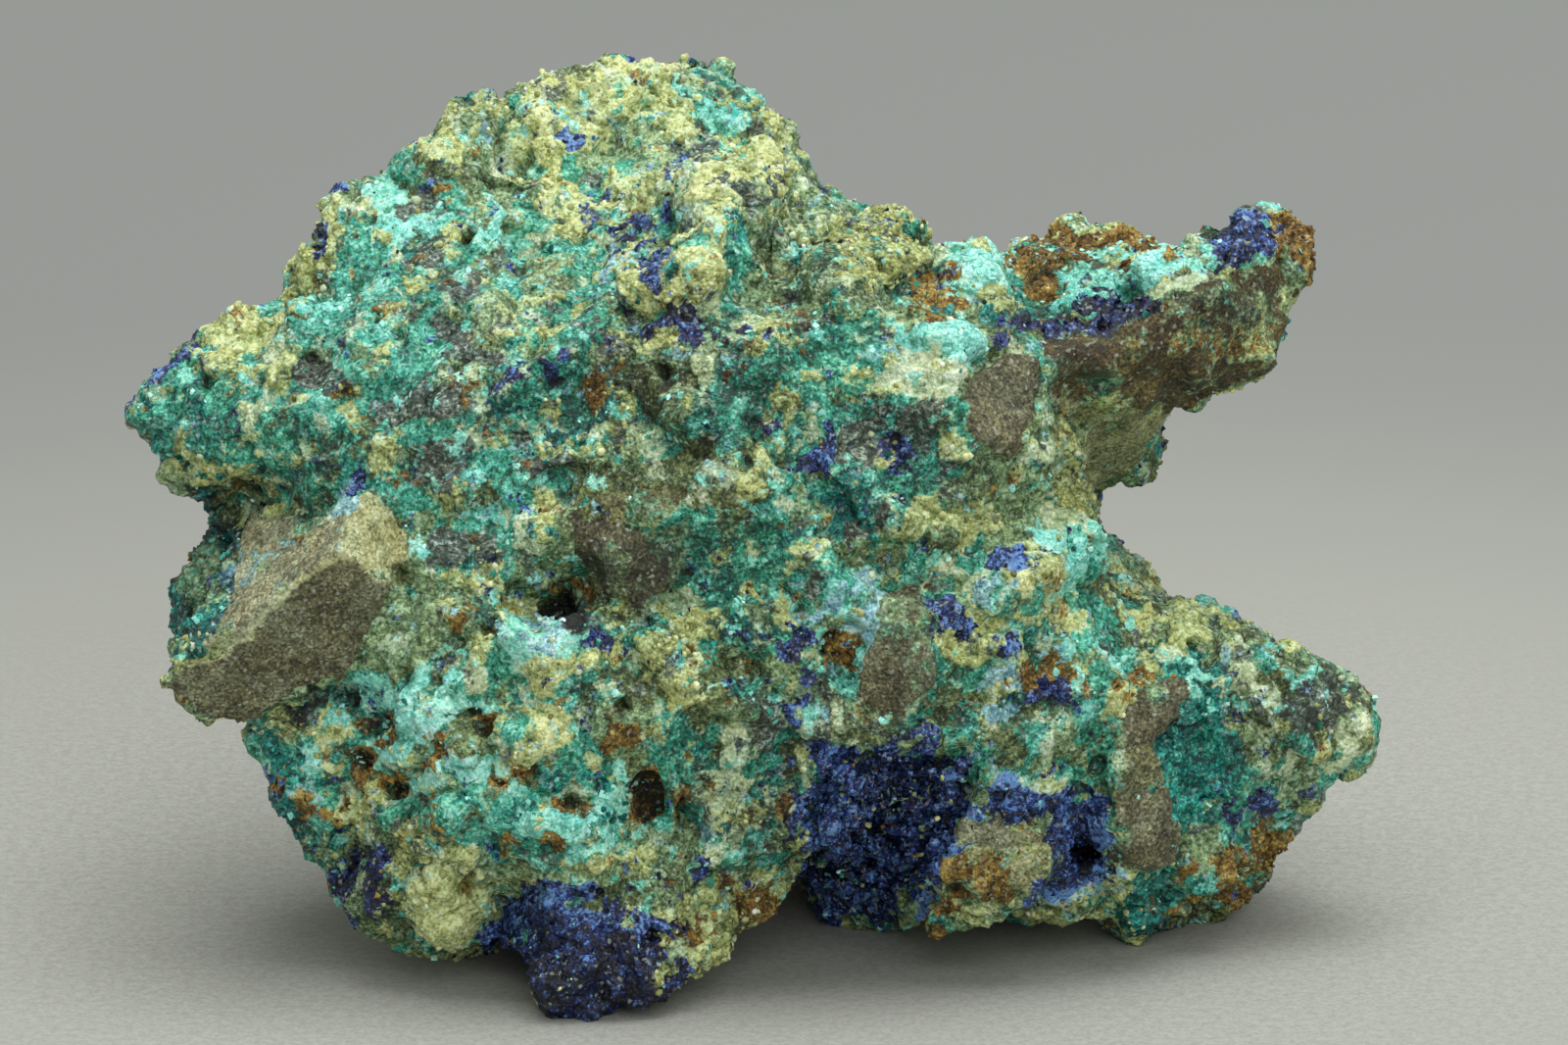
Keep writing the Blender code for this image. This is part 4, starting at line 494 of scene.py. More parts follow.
def palette_colour(name, lightness):
    """The palette's colour at each lightness from 0 to 1."""
    stops = np.array([linear(code) for code in PALETTES[name]])
    place = np.clip(lightness, 0, 1) * (len(stops) - 1)
    low = np.minimum(place.astype(int), len(stops) - 2)
    t = (place - low)[:, None]
    return stops[low] * (1 - t) + stops[low + 1] * t


# ---------------------------------------------------------------- meshes

ROCK_SQUARE = 0.2               # the side of the rock's small squares
CRUST_GROWTH = 0.35             # how far the crust is grown, so that it joins the rock in one closed mesh
SNAP_REACH = 0.22               # how far a vertex may be pulled back onto the CAD faces
SINK = 0.15                     # how far the rough ground sinks, so that its lumps end near the CAD faces
# Where the rock's quarters meet: the axis and the place along it.
DIVIDES = ((1, -1.5), (0, 1.0))


def closed_copy(nodes, name, voxel):
    """One closed mesh round copies of the nodes, each grown outwards, as even small squares."""
    joined = bmesh.new()
    for node, growth in nodes:
        part = bmesh.new()
        part.from_mesh(node.data)
        part.normal_update()
        for vertex in part.verts:
            vertex.co += vertex.normal * growth * MM
        copy = bpy.data.meshes.new(name + "_part")
        part.to_mesh(copy)
        part.free()
        joined.from_mesh(copy)
        bpy.data.meshes.remove(copy)
    mesh = bpy.data.meshes.new(name + "_rough")
    joined.to_mesh(mesh)
    joined.free()
    thing = bpy.data.objects.new(name + "_rough", mesh)
    bpy.context.scene.collection.objects.link(thing)
    remesh = thing.modifiers.new("squares", "REMESH")
    remesh.mode = "VOXEL"
    remesh.voxel_size = voxel * MM
    bpy.context.view_layer.update()
    result = bpy.data.meshes.new_from_object(thing.evaluated_get(bpy.context.evaluated_depsgraph_get()))
    result.name = name
    bpy.data.objects.remove(thing)
    return result


def vertex_values(mesh, key):
    """Three numbers for each vertex: its place in metres, or its normal."""
    values = np.empty(len(mesh.vertices) * 3)
    mesh.vertices.foreach_get(key, values)
    return values.reshape(-1, 3)


def mesh_points(mesh):
    """The vertices in millimetres."""
    return vertex_values(mesh, "co") / MM


def move_points(mesh, points):
    mesh.vertices.foreach_set("co", (points * MM).ravel())
    mesh.update()


def snap_to_solid(mesh, nodes, reach):
    """Pulls the vertices back onto the CAD faces, so that broken edges stay sharp."""
    solid = bmesh.new()
    for node in nodes:
        solid.from_mesh(node.data)
    tree = BVHTree.FromBMesh(solid)
    solid.free()
    points = mesh_points(mesh)
    for index, point in enumerate(points):
        found, _, _, distance = tree.find_nearest(Vector(point * MM))
        if found is not None and distance < reach * MM:
            points[index] = np.array(found) / MM
    move_points(mesh, points)


def domes(points, size, seed):
    """Rounded lumps packed side by side, about size across and of many heights, from 0 to 1."""
    gap, number = cells(points, size, seed)
    return np.clip(1 - 1.5 * gap * gap, 0, 1) * (0.35 + 0.65 * number)


def relief(points, fields, places):
    """How far each point stands out from the CAD face: swellings, lumps, crumbs, chips and eaten holes."""
    rough = 1 - 0.93 * fields["sandy"]
    warp = np.stack([noise(points, 1.1, SEED + k) for k in (70, 71, 72)], axis=1) * 0.9
    lumps = layered(points, 3.4, SEED + 1, 3) - 0.5
    hole_gap, hole_size = cells(points + warp, 2.1, SEED + 25)
    holes = step(-hole_gap, -0.34, -0.1) * (hole_size > 0.78) * (1 - 0.5 * fields["teal"])
    pore_gap, pore_size = cells(points, 1.0, SEED + 45)
    pores = step(-pore_gap, -0.42, -0.15) * (pore_size > 0.8)
    ridged = 1 - np.abs(2 * layered(points, 1.5, SEED + 30, 3) - 1)
    grain = noise(points, 0.42, SEED + 35) - 0.5
    crusty = np.clip(fields["cream"] + 0.6 * fields["turquoise"] + 0.4 * fields["rust"]
                     + 0.5 * fields["azurite"] + 0.4 * fields["deep"], 0, 1)
    height = rough * (0.72 * lumps
                      + (0.05 + 0.3 * crusty) * domes(points + warp, 1.15, SEED + 5)
                      + (0.26 - 0.14 * fields["teal"] + 0.2 * crusty)
                      * domes(points + warp * 0.5, 0.62, SEED + 15)
                      + 0.32 * (ridged - 0.55) - 0.9 * holes - (0.2 + 0.4 * crusty) * pores
                      + (0.34 - 0.16 * fields["teal"]) * grain)
    broken = 0.3 * (layered(points, 1.6, SEED + 36, 3) - 0.5) + 0.1 * (noise(points, 0.4, SEED + 37) - 0.5)
    height += fields["sandy"] * (0.35 + 0.65 * fields["earth"]) * broken + fields["rise"]
    for x, y, half_width, half_height, depth in PITS.values():
        gap = np.hypot((places[:, 0] - x) / half_width, (places[:, 1] - y) / half_height)
        height -= depth * step(-gap, -1.15, -0.45) * fields["front"]
    fields["height"] = np.clip(height, -1, 1)
    for swell in SWELLS.values():
        height += oval_weight(places, swell) * fields["front"] * rough
    return height - SINK * rough


def store(mesh, name, values):
    mesh.attributes.new(name, "FLOAT", "POINT").data.foreach_set("value", values.astype(np.float32))


def store_tint(mesh, colours):
    flat = np.concatenate([colours, np.ones((len(colours), 1))], axis=1)
    mesh.color_attributes.new("tint", "FLOAT_COLOR", "POINT").data.foreach_set(
        "color", flat.astype(np.float32).ravel())


def cut_away(shape, divide, side):
    """The part of a closed shape on one side of a plane, closed again with the cut's edges kept sharp."""
    axis, place = divide
    normal, point = [0, 0, 0], [0, 0, 0]
    normal[axis], point[axis] = side, place * MM
    part = shape.copy()
    cut = bmesh.ops.bisect_plane(part, geom=part.verts[:] + part.edges[:] + part.faces[:],
                                 plane_co=point, plane_no=normal, clear_outer=True)
    rim = [item for item in cut["geom_cut"] if isinstance(item, bmesh.types.BMEdge)]
    for edge in rim:
        edge.smooth = False
    bmesh.ops.holes_fill(part, edges=rim)
    return part


def quarters_of(mesh):
    """The mesh as four closed things that meet at the dividing planes."""
    whole = bmesh.new()
    whole.from_mesh(mesh)
    for face in whole.faces:
        face.smooth = True
    things = []
    for depth_name, depth_side in (("front", 1), ("back", -1)):
        half = cut_away(whole, DIVIDES[0], depth_side)
        for side_name, side in (("left", 1), ("right", -1)):
            quarter = cut_away(half, DIVIDES[1], side)
            name = f"rock_{depth_name}_{side_name}"
            result = bpy.data.meshes.new(name)
            quarter.to_mesh(result)
            quarter.free()
            things.append(bpy.data.objects.new(name, result))
            bpy.context.scene.collection.objects.link(things[-1])
        half.free()
    whole.free()
    return things


def make_rock():
    """The rock with its broken, eaten and crusted surface. Returns its quarters and the whole surface."""
    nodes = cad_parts
    solids = [nodes["matrix"], nodes["azurite_crust"]]
    mesh = closed_copy([(solids[0], 0.0), (solids[1], CRUST_GROWTH)], "rock", ROCK_SQUARE)
    snap_to_solid(mesh, solids, SNAP_REACH)
    points, normals = mesh_points(mesh), vertex_values(mesh, "normal")
    fields = mineral_fields(points, normals)
    places = photo_places(points)
    points += normals * relief(points, fields, places)[:, None]
    points[:, 2] = np.maximum(points[:, 2], 0.0)
    move_points(mesh, points)
    for name in MINERALS + STONE_KINDS + ("sandy", "brown", "height"):
        store(mesh, name, fields[name])
    return quarters_of(mesh), Surface(mesh, fields)


# ---------------------------------------------------------------- loose grains and crystals

BLOCK = (np.array([(x, y, z) for z in (-1, 1) for y in (-1, 1) for x in (-1, 1)]) * 0.5,
         [(0, 2, 3, 1), (4, 5, 7, 6), (0, 1, 5, 4), (2, 6, 7, 3), (0, 4, 6, 2), (1, 3, 7, 5)])


def shard_shape():
    """Eight faces on six points."""
    points = np.array([(1, 0, 0), (-1, 0, 0), (0, 1, 0), (0, -1, 0), (0, 0, 1), (0, 0, -1)]) * 0.5
    faces = [(0, 2, 4), (2, 1, 4), (1, 3, 4), (3, 0, 4), (2, 0, 5), (1, 2, 5), (3, 1, 5), (0, 3, 5)]
    return points, faces


def crumb_shape():
    """Twenty faces on twelve points, nearly round."""
    golden = (1 + 5 ** 0.5) / 2
    points = [corner for a in (-1, 1) for b in (-golden, golden)
              for corner in ((0, a, b), (a, b, 0), (b, 0, a))]
    points = np.array(points) * 0.5 / math.hypot(1, golden)
    near = 1.1 * min(np.linalg.norm(points[0] - other) for other in points[1:])
    faces = [trio for trio in itertools.combinations(range(len(points)), 3)
             if all(np.linalg.norm(points[p] - points[q]) < near for p, q in itertools.combinations(trio, 2))]
    outward = []
    for a, b, c in faces:
        turned = np.dot(np.cross(points[b] - points[a], points[c] - points[a]), points[a]) > 0
        outward.append((a, b, c) if turned else (a, c, b))
    return points, outward


def flake_shape():
    """A thin six-sided dish."""
    ring = [(0.5 * math.cos(a), 0.5 * math.sin(a), 0.0) for a in np.linspace(0, 2 * math.pi, 7)[:-1]]
    points = np.array(ring + [(0, 0, 0.16), (0, 0, 0.05)])
    faces = []
    for k in range(6):
        faces.append((k, (k + 1) % 6, 6))
        faces.append(((k + 1) % 6, k, 7))
    return points, faces


class Surface:
    """The rock's faces, from which places for grains are drawn."""

    def __init__(self, mesh, fields):
        self.points, self.normals = mesh_points(mesh), vertex_values(mesh, "normal")
        self.fields = fields
        self.bare = 1 - 0.97 * fields["sandy"]
        self.corners = np.array([tuple(face.vertices) for face in mesh.polygons if len(face.vertices) == 4])
        a, b, c, d = (self.points[self.corners[:, k]] for k in range(4))
        self.areas = 0.5 * np.linalg.norm(np.cross(c - a, d - b), axis=1)

    def draw(self, count, density, random):
        """count places, more where density is high: points, normals and the fields there."""
        weight = self.areas * density[self.corners].mean(axis=1)
        faces = random.choice(len(weight), count, p=weight / weight.sum())
        u, v = random.random(count), random.random(count)
        shares = np.stack([(1 - u) * (1 - v), u * (1 - v), u * v, (1 - u) * v], axis=1)
        corners = self.corners[faces]
        points = (self.points[corners] * shares[:, :, None]).sum(axis=1)
        normals = (self.normals[corners] * shares[:, :, None]).sum(axis=1)
        normals /= np.linalg.norm(normals, axis=1, keepdims=True)
        fields = {name: (values[corners] * shares).sum(axis=1) for name, values in self.fields.items()}
        return points, normals, fields


def scatter(name, shape, points, normals, sizes, colours, random, tilt=0.5, wobble=0.2, smooth=False):
    """One mesh of many small bodies, each turned at random about its place's normal."""
    template, faces = shape
    count = len(points)
    upward = normals + tilt * random.normal(size=(count, 3))
    upward /= np.linalg.norm(upward, axis=1, keepdims=True)
    side = np.cross(upward, random.normal(size=(count, 3)))
    side /= np.linalg.norm(side, axis=1, keepdims=True)
    turns = np.stack([side, np.cross(upward, side), upward], axis=1)
    bodies = template[None] * sizes[:, None, :]
    bodies = bodies * (1 + wobble * random.uniform(-1, 1, size=(count, len(template), 1)))
    placed = np.einsum("nvi,nij->nvj", bodies, turns) + points[:, None]
    mesh = bpy.data.meshes.new(name)
    corner_count = len(faces[0])
    loops = (np.array(faces)[None] + len(template) * np.arange(count)[:, None, None]).ravel()
    mesh.vertices.add(count * len(template))
    mesh.vertices.foreach_set("co", (placed * MM).ravel())
    mesh.loops.add(len(loops))
    mesh.loops.foreach_set("vertex_index", loops)
    mesh.polygons.add(len(loops) // corner_count)
    mesh.polygons.foreach_set("loop_start", np.arange(0, len(loops), corner_count))
    mesh.update(calc_edges=True)
    mesh.validate()
    store_tint(mesh, np.repeat(colours, len(template), axis=0))
    if smooth:
        mesh.shade_smooth()
    else:
        mesh.shade_flat()
    thing = bpy.data.objects.new(name, mesh)
    bpy.context.scene.collection.objects.link(thing)
    return thing


def sizes_between(count, small, large, random, shape=(1, 1, 1), power=2.0):
    """Sizes of bodies: many small and few large, stretched by shape with some spread."""
    size = small + (large - small) * random.random(count) ** power
    stretch = np.array(shape) * (1 + 0.3 * random.uniform(-1, 1, size=(count, 3)))
    return size[:, None] * stretch


def speckled(base, points, size, seed, layers, swing, spread, random):
    """How light each grain is: base, drifting from place to place and from grain to grain."""
    drift = (layered(points, size, SEED + seed, layers) - 0.5) * swing
    return base + drift + random.normal(0, spread, len(points))


def either(chosen, one, other, light):
    """The colour of palette one where chosen, and of palette other elsewhere."""
    return np.where(chosen[:, None], palette_colour(one, light), palette_colour(other, light))


# ---------------------------------------------------------------- materials

# What the rock's colours are multiplied by: its crusts, its low places (soil together with painted shade), and
# its cooler and warmer patches.
CRUST_TINT = (0.98, 1.05, 1.0)
SOIL_AND_SHADE_TINT, GREEN_SOIL_AND_SHADE_TINT = (0.52, 0.46, 0.32, 1), (0.34, 0.5, 0.47, 1)
COOL_TINT, WARM_TINT = (0.95, 1.0, 1.06, 1), (1.05, 1.0, 0.92, 1)
# Painted glints: the pale colour that a few bright flecks are mixed towards.
GLINT = (0.62, 0.72, 0.60, 1)
# Each mineral over the ones before it: how much lighter than the ground it is, how rough, how ragged
# its edges are, and how soft.
LAYERS = {
    "teal": (0.04, 0.5, 2.1, 0.22), "olive": (-0.04, 0.7, 2.1, 0.25), "quartz": (0.10, 0.35, 2.1, 0.25),
    "cream": (0.10, 0.8, 2.3, 0.2), "grey": (-0.06, 0.3, 2.1, 0.18), "deep": (0.0, 0.35, 2.1, 0.18),
    "turquoise": (0.02, 0.5, 2.5, 0.16), "sky": (0.14, 0.6, 2.0, 0.15), "rust": (0.03, 0.85, 2.4, 0.2),
    # The last layer is near-black: dark tone, and painted shade in holes, gaps and under overhangs.
    "azurite": (0.06, 0.38, 2.8, 0.16), "dark_and_shade": (-0.1, 0.6, 1.8, 0.3),
}


class Graph:
    """A material and its nodes, added one call at a time."""

    def __init__(self, name):
        self.material = bpy.data.materials.new(name)
        self.material.use_nodes = True
        self.tree = self.material.node_tree
        self.shader = self.tree.nodes["Principled BSDF"]
        self.place = None

    def add(self, kind, inputs=(), **settings):
        node = self.tree.nodes.new(kind)
        for name, value in settings.items():
            setattr(node, name, value)
        for key, value in dict(inputs).items():
            self.feed(node.inputs[key], value)
        return node

    def feed(self, socket, value):
        if isinstance(value, bpy.types.NodeSocket):
            self.tree.links.new(value, socket)
        else:
            socket.default_value = value

    def millimetres(self):
        """The surface's own coordinates in millimetres."""
        if self.place is None:
            where = self.add("ShaderNodeTexCoord").outputs["Object"]
            self.place = self.add("ShaderNodeVectorMath", {0: where, 1: (1000, 1000, 1000)},
                                  operation="MULTIPLY").outputs[0]
        return self.place

    def noise(self, size, detail=2.0, roughness=0.55, shift=0.0, stretch=(1, 1, 1)):
        where = self.add("ShaderNodeVectorMath", {0: self.millimetres(), 1: stretch,
                                                  2: (shift, shift * 1.7, shift * 0.6)},
                         operation="MULTIPLY_ADD").outputs[0]
        return self.add("ShaderNodeTexNoise", {"Vector": where, "Scale": 1 / size, "Detail": detail,
                                               "Roughness": roughness}).outputs["Fac"]

    def cells(self, size, output):
        node = self.add("ShaderNodeTexVoronoi", {"Vector": self.millimetres(), "Scale": 1 / size})
        return node.outputs[output]

    def flecks(self, size):
        """Three numbers that are the same all over each cell."""
        return self.add("ShaderNodeSeparateColor", {0: self.cells(size, "Color")}).outputs

    def math(self, operation, a, b=0.0):
        return self.add("ShaderNodeMath", {0: a, 1: b}, operation=operation).outputs[0]

    def total(self, *terms):
        """The sum of share times (value - middle) over (value, share, middle) terms.

        A value may be an attribute's name, and the middle is 0 where it isn't given."""
        result = 0.0
        for value, share, *middle in terms:
            if isinstance(value, str):
                value = self.attribute(value)
            offset = self.math("SUBTRACT", value, middle[0] if middle else 0.0)
            result = self.math("ADD", self.math("MULTIPLY", offset, share), result)
        return result

    def step(self, value, low, high):
        node = self.add("ShaderNodeMapRange", {"Value": value, "From Min": low, "From Max": high},
                        interpolation_type="SMOOTHSTEP")
        return node.outputs["Result"]

    def without(self, share):
        return self.math("SUBTRACT", 1.0, share)

    def attribute(self, name, output="Fac"):
        return self.add("ShaderNodeAttribute", attribute_name=name).outputs[output]

    def mix(self, share, a, b):
        """A colour between a and b."""
        return self.add("ShaderNodeMix", {0: share, 6: a, 7: b}, data_type="RGBA").outputs[2]

    def blend(self, share, a, b):
        """A number between a and b."""
        return self.add("ShaderNodeMix", {0: share, 2: a, 3: b}, data_type="FLOAT").outputs[0]

    def palette(self, name, lightness):
        node = self.add("ShaderNodeValToRGB", {"Fac": lightness})
        stops = node.color_ramp.elements
        codes = PALETTES[name]
        while len(stops) < len(codes):
            stops.new(0.5)
        for index, code in enumerate(codes):
            stops[index].position = index / (len(codes) - 1)
            stops[index].color = (*linear(code), 1)
        return node.outputs["Color"]

    def multiply(self, colour, other):
        return self.add("ShaderNodeVectorMath", {0: colour, 1: other}, operation="MULTIPLY").outputs[0]

    def scale_colour(self, colour, factor):
        return self.add("ShaderNodeVectorMath", {0: colour, "Scale": factor}, operation="SCALE").outputs[0]

    def bump(self, height, distance, strength=1.0):
        node = self.add("ShaderNodeBump", {"Height": height, "Distance": distance * MM, "Strength": strength})
        self.feed(self.shader.inputs["Normal"], node.outputs["Normal"])

    def shine(self, **values):
        for name, value in values.items():
            self.feed(self.shader.inputs[name.replace("_", " ")], value)
        return self.material


def breccia_material():
    """The rock: an olive ground, with each mineral laid over it in ragged blotches."""
    g = Graph("breccia")
    coarse = g.noise(1.4, detail=5, roughness=0.62, shift=3.1)
    fine = g.noise(0.4, detail=3, roughness=0.68, shift=9.2)
    speckle = g.noise(0.14, detail=3, roughness=0.85, shift=5.5)
    granules = g.cells(0.24, "Distance")
    grit = g.flecks(0.17)
    # Lightness: mottled noise, plus painted light on lit places and painted shade under overhangs, in holes and
    # in low places, taken from the fields.
    light = g.total((coarse, 1.1, 0.5), (fine, 1.2, 0.5), (grit[0], 0.4, 0.5), (speckle, 1.5, 0.5),
                    (granules, -0.35, 0.45), ("light", 0.3), ("dark_and_shade", -0.3), ("height", 0.3),
                    ("shade", -0.4), (0.46, 1.0))
    colour = g.palette("ground", light)
    rough = 0.62
    for number, (mineral, (lighter, own_rough, ragged, soft)) in enumerate(LAYERS.items()):
        tatters = g.noise(0.48, detail=4, roughness=0.74, shift=30.0 + 7 * number)
        share = g.step(g.total((mineral, 1.0), (tatters, ragged, 0.5)), 0.5 - soft, 0.5 + soft)
        own_light = g.total((light, 1.0), (lighter, 1.0))
        if mineral == "grey":
            # Pale streaks on the grey: its own streaked grain, with painted glints.
            streaks = g.noise(0.3, detail=3, roughness=0.7, shift=17.0, stretch=(0.7, 1.0, 1.2))
            own_light = g.total((own_light, 0.7), (streaks, 2.6, 0.47))
        if mineral == "azurite":
            own_light = g.total((own_light, 1.5, 0.18))
        colour = g.mix(share, colour, g.palette(mineral, own_light))
        rough = g.blend(share, rough, own_rough)

    # The sandy fragments, where the other minerals leave them clean.
    # The sandy faces' lightness includes the painted light and shade given to each broken face.
    sand_light = g.total((g.flecks(0.13)[1], 0.5, 0.5),
                         (g.noise(0.7, detail=4, roughness=0.7, shift=60.0), 1.1, 0.5),
                         (speckle, 0.8, 0.5), (g.noise(2.6, detail=2, shift=66.0), 0.9, 0.5), ("brown", 1.0))
    stone = g.palette("sandy", sand_light)
    for kind in STONE_KINDS:
        stone = g.mix(g.attribute(kind), stone, g.palette(kind, sand_light))
    sandy = g.step(g.total(("sandy", 1.0), (g.noise(0.4, shift=71.0), 0.3, 0.5)), 0.42, 0.56)
    dusted = g.noise(0.5, detail=3, roughness=0.7, shift=81.0)
    for mineral in ("cream", "rust", "teal", "azurite", "dark_and_shade"):
        dusted = g.math("ADD", dusted, g.attribute(mineral))
    clean = g.math("MULTIPLY", sandy, g.without(g.step(dusted, 0.75, 1.15)))
    colour = g.mix(clean, g.multiply(colour, CRUST_TINT), stone)

    # Soil together with painted shade in the low places, broad warmer and cooler patches, and painted glints.
    low = g.total(("height", -1.0), (g.noise(0.5, detail=4, roughness=0.7, shift=87.0), 1.6, 0.5))
    soil_and_shade = g.math("MULTIPLY", g.step(low, 0.02, 0.45), g.without(sandy))
    green = g.step(g.total(("teal", 0.8), ("deep", 1.0)), 0.2, 0.8)
    colour = g.mix(soil_and_shade, colour, g.multiply(colour, g.mix(green, SOIL_AND_SHADE_TINT, GREEN_SOIL_AND_SHADE_TINT)))
    warmth = g.step(g.noise(2.2, detail=3, shift=91.0), 0.35, 0.65)
    colour = g.multiply(colour, g.mix(warmth, COOL_TINT, WARM_TINT))
    # Painted highlights: a few flecks mixed towards a pale colour, and made glossier.
    glint = g.step(grit[2], 0.94, 0.96)
    colour = g.mix(g.math("MULTIPLY", glint, 0.3), colour, GLINT)
    g.bump(g.total((fine, 1.0, 0.5), (speckle, 0.4, 0.5), (granules, -0.6, 0.5)), 0.16, 1.0)
    return g.shine(Base_Color=colour, Roughness=g.blend(glint, rough, 0.2), Specular_IOR_Level=0.5)


def grain_material(name, rough, glossy_rough, glossy_share, grain=0.12, contrast=0.55):
    """Loose grains in their own tints, mottled, some of them glossy."""
    g = Graph(name)
    mottle = g.noise(grain, detail=2, shift=4.0)
    shading = g.blend(g.step(mottle, 0.25, 0.75), 1 - contrast / 2, 1 + contrast / 2)
    colour = g.scale_colour(g.attribute("tint", "Color"), shading)
    glossy = g.step(g.flecks(0.5)[1], 1 - glossy_share, 1.02 - glossy_share)
    g.bump(g.noise(grain * 0.8, detail=1, shift=14.0), 0.03, 0.6)
    return g.shine(Base_Color=colour, Roughness=g.blend(glossy, rough, glossy_rough))


# ---------------------------------------------------------------- the pieces on the rock

FLOOR_GAP = 0.25                # a grain stays only where the surface is higher than this above the floor
CRUST_MARGIN = 0.3              # how far past the crust's box the hollow's crystals reach


def settle(piece, material):
    """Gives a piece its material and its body."""
    piece.data.materials.append(material)
    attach(piece, "root")
    return piece


def strew(name, shape, surface, count, density, paint, random, least, most, stretch=(1, 1, 1), power=2.0,
          tilt=0.5, wobble=0.2, smooth=False, slot="breccia", **look):
    """One piece of grains on the rock. paint gives their colours, and look is their material's numbers."""
    points, normals, here = surface.draw(count, density, random)
    colours = paint(points, here)
    sizes = sizes_between(count, least, most, random, stretch, power)
    keep = points[:, 2] > FLOOR_GAP
    piece = scatter(name, shape, points[keep], normals[keep], sizes[keep], colours[keep], random,
                    tilt, wobble, smooth)
    return settle(piece, grain_material(name, **look))


def make_crumbs(surface):
    """Rounded cream and yellow crumbs, heaped where the crust is thick."""
    random = np.random.default_rng(SEED + 102)
    f = surface.fields

    def paint(points, here):
        light = speckled(0.56, points, 1.4, 121, 3, 0.7, 0.13, random)
        return either(random.random(len(points)) < 0.15, "quartz", "cream", light)

    density = f["cream"] ** 2 * surface.bare * (1 - 0.9 * f["azurite"])
    strew("crumbs", crumb_shape(), surface, 4600, density, paint, random, 0.2, 0.5, (1, 1, 0.8),
          tilt=0.6, wobble=0.14, smooth=True, rough=0.8, glossy_rough=0.45, glossy_share=0.15, grain=0.16)


def make_teal_crystals(surface):
    """Small glassy blue-green crystals, standing at all angles."""
    random = np.random.default_rng(SEED + 103)
    f = surface.fields

    def paint(points, here):
        # Painted light and shade: crystals lighter on lit places and darker in shaded ones.
        zone = 0.46 + 0.3 * here["light"] - 0.3 * here["dark_and_shade"]
        light = speckled(zone, points, 1.3, 90, 3, 0.45, 0.15, random)
        colours = either(here["deep"] > 0.4, "deep", "teal", light + 0.05)
        pale = random.random(len(points)) < 0.05 + 0.8 * here["turquoise"]
        return np.where(pale[:, None], palette_colour("turquoise", light + 0.1), colours)

    density = (0.3 * f["teal"] + 1.5 * f["deep"] + 0.4 * f["turquoise"]) * surface.bare
    density *= 1 - f["cream"] * 0.9
    density *= (1 - 0.9 * f["azurite"]) * (0.1 + step(layered(surface.points, 1.9, SEED + 130, 2), 0.5, 0.75))
    strew("teal_crystals", BLOCK, surface, 3500, density, paint, random, 0.14, 0.42, (1, 0.7, 0.45), power=3.0,
          tilt=1.2, wobble=0.15, rough=0.3, glossy_rough=0.12, glossy_share=0.5, contrast=0.4)


def make_flakes(surface):
    """Thin curled flakes of the pale blue-green and sky-blue crusts."""
    random = np.random.default_rng(SEED + 104)
    f = surface.fields

    def paint(points, here):
        light = speckled(0.6, points, 1.2, 141, 2, 0.5, 0.12, random)
        return either(here["sky"] > 0.5, "sky", "turquoise", light)

    density = (f["turquoise"] + 0.8 * f["sky"]) * surface.bare
    strew("flakes", flake_shape(), surface, 2300, density, paint, random, 0.16, 0.46,
          tilt=0.4, wobble=0.25, rough=0.55, glossy_rough=0.3, glossy_share=0.3, contrast=0.4)


def make_rust_crumbs(surface):
    """Rusty crumbs in the eaten pits and on top of the arm."""
    random = np.random.default_rng(SEED + 105)
    f = surface.fields

    def paint(points, here):
        return palette_colour("rust", speckled(0.5, points, 1.2, 151, 2, 0.7, 0.16, random))

    density = f["rust"] ** 2 * (1 - 0.6 * f["sandy"])
    strew("rust_crumbs", shard_shape(), surface, 2400, density, paint, random, 0.16, 0.45,
          tilt=0.8, wobble=0.35, rough=0.85, glossy_rough=0.5, glossy_share=0.1)


def make_azurite(surface):
    """The deep blue crystals: those that line the hollow, and those of the foot and the veins."""
    random = np.random.default_rng(SEED + 106)
    f = surface.fields

    def paint(points, here):
        light = speckled(0.44, points, 1.3, 161, 2, 0.6, 0.2, random)
        # Painted light and shade: crystals lighter on lit places and darker in shaded ones.
        return palette_colour("azurite", light + 0.3 * here["light"] - 0.3 * here["shade"])

    low, high = (np.array(corner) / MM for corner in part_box("azurite_crust"))
    within = np.all((surface.points > low - CRUST_MARGIN) & (surface.points < high + CRUST_MARGIN), axis=1)
    for name, count, where in (("hollow_azurite", 3800, within), ("azurite", 4000, ~within)):
        density = f["azurite"] * where * surface.bare
        piece = strew(name, BLOCK, surface, count, density, paint, random, 0.1, 0.32, (1, 0.6, 0.5),
                      tilt=1.0, wobble=0.15, slot="azurite",
                      rough=0.32, glossy_rough=0.15, glossy_share=0.5, contrast=0.4)
        if where is within:
            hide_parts("azurite_crust")


# ---------------------------------------------------------------- floor, light and camera

FLOOR_HALF = 6.0                # metres
# The floor near the rock and far off: the step between them is painted light.
FLOOR_NEAR, FLOOR_FAR = (0.33, 0.34, 0.306, 1), (0.224, 0.235, 0.224, 1)
ROOM_COLOUR, ROOM_STRENGTH = (1.0, 0.985, 0.95, 1), 0.47
# Square lamps: watts, side and place in metres.
LAMPS = {"overhead": (8.9, 0.8, (0.08, -0.02, 0.95)), "front": (5.2, 0.8, (0.25, -1.0, 0.55))}
LAMP_AIM = (0.0, 0.0, 0.02)


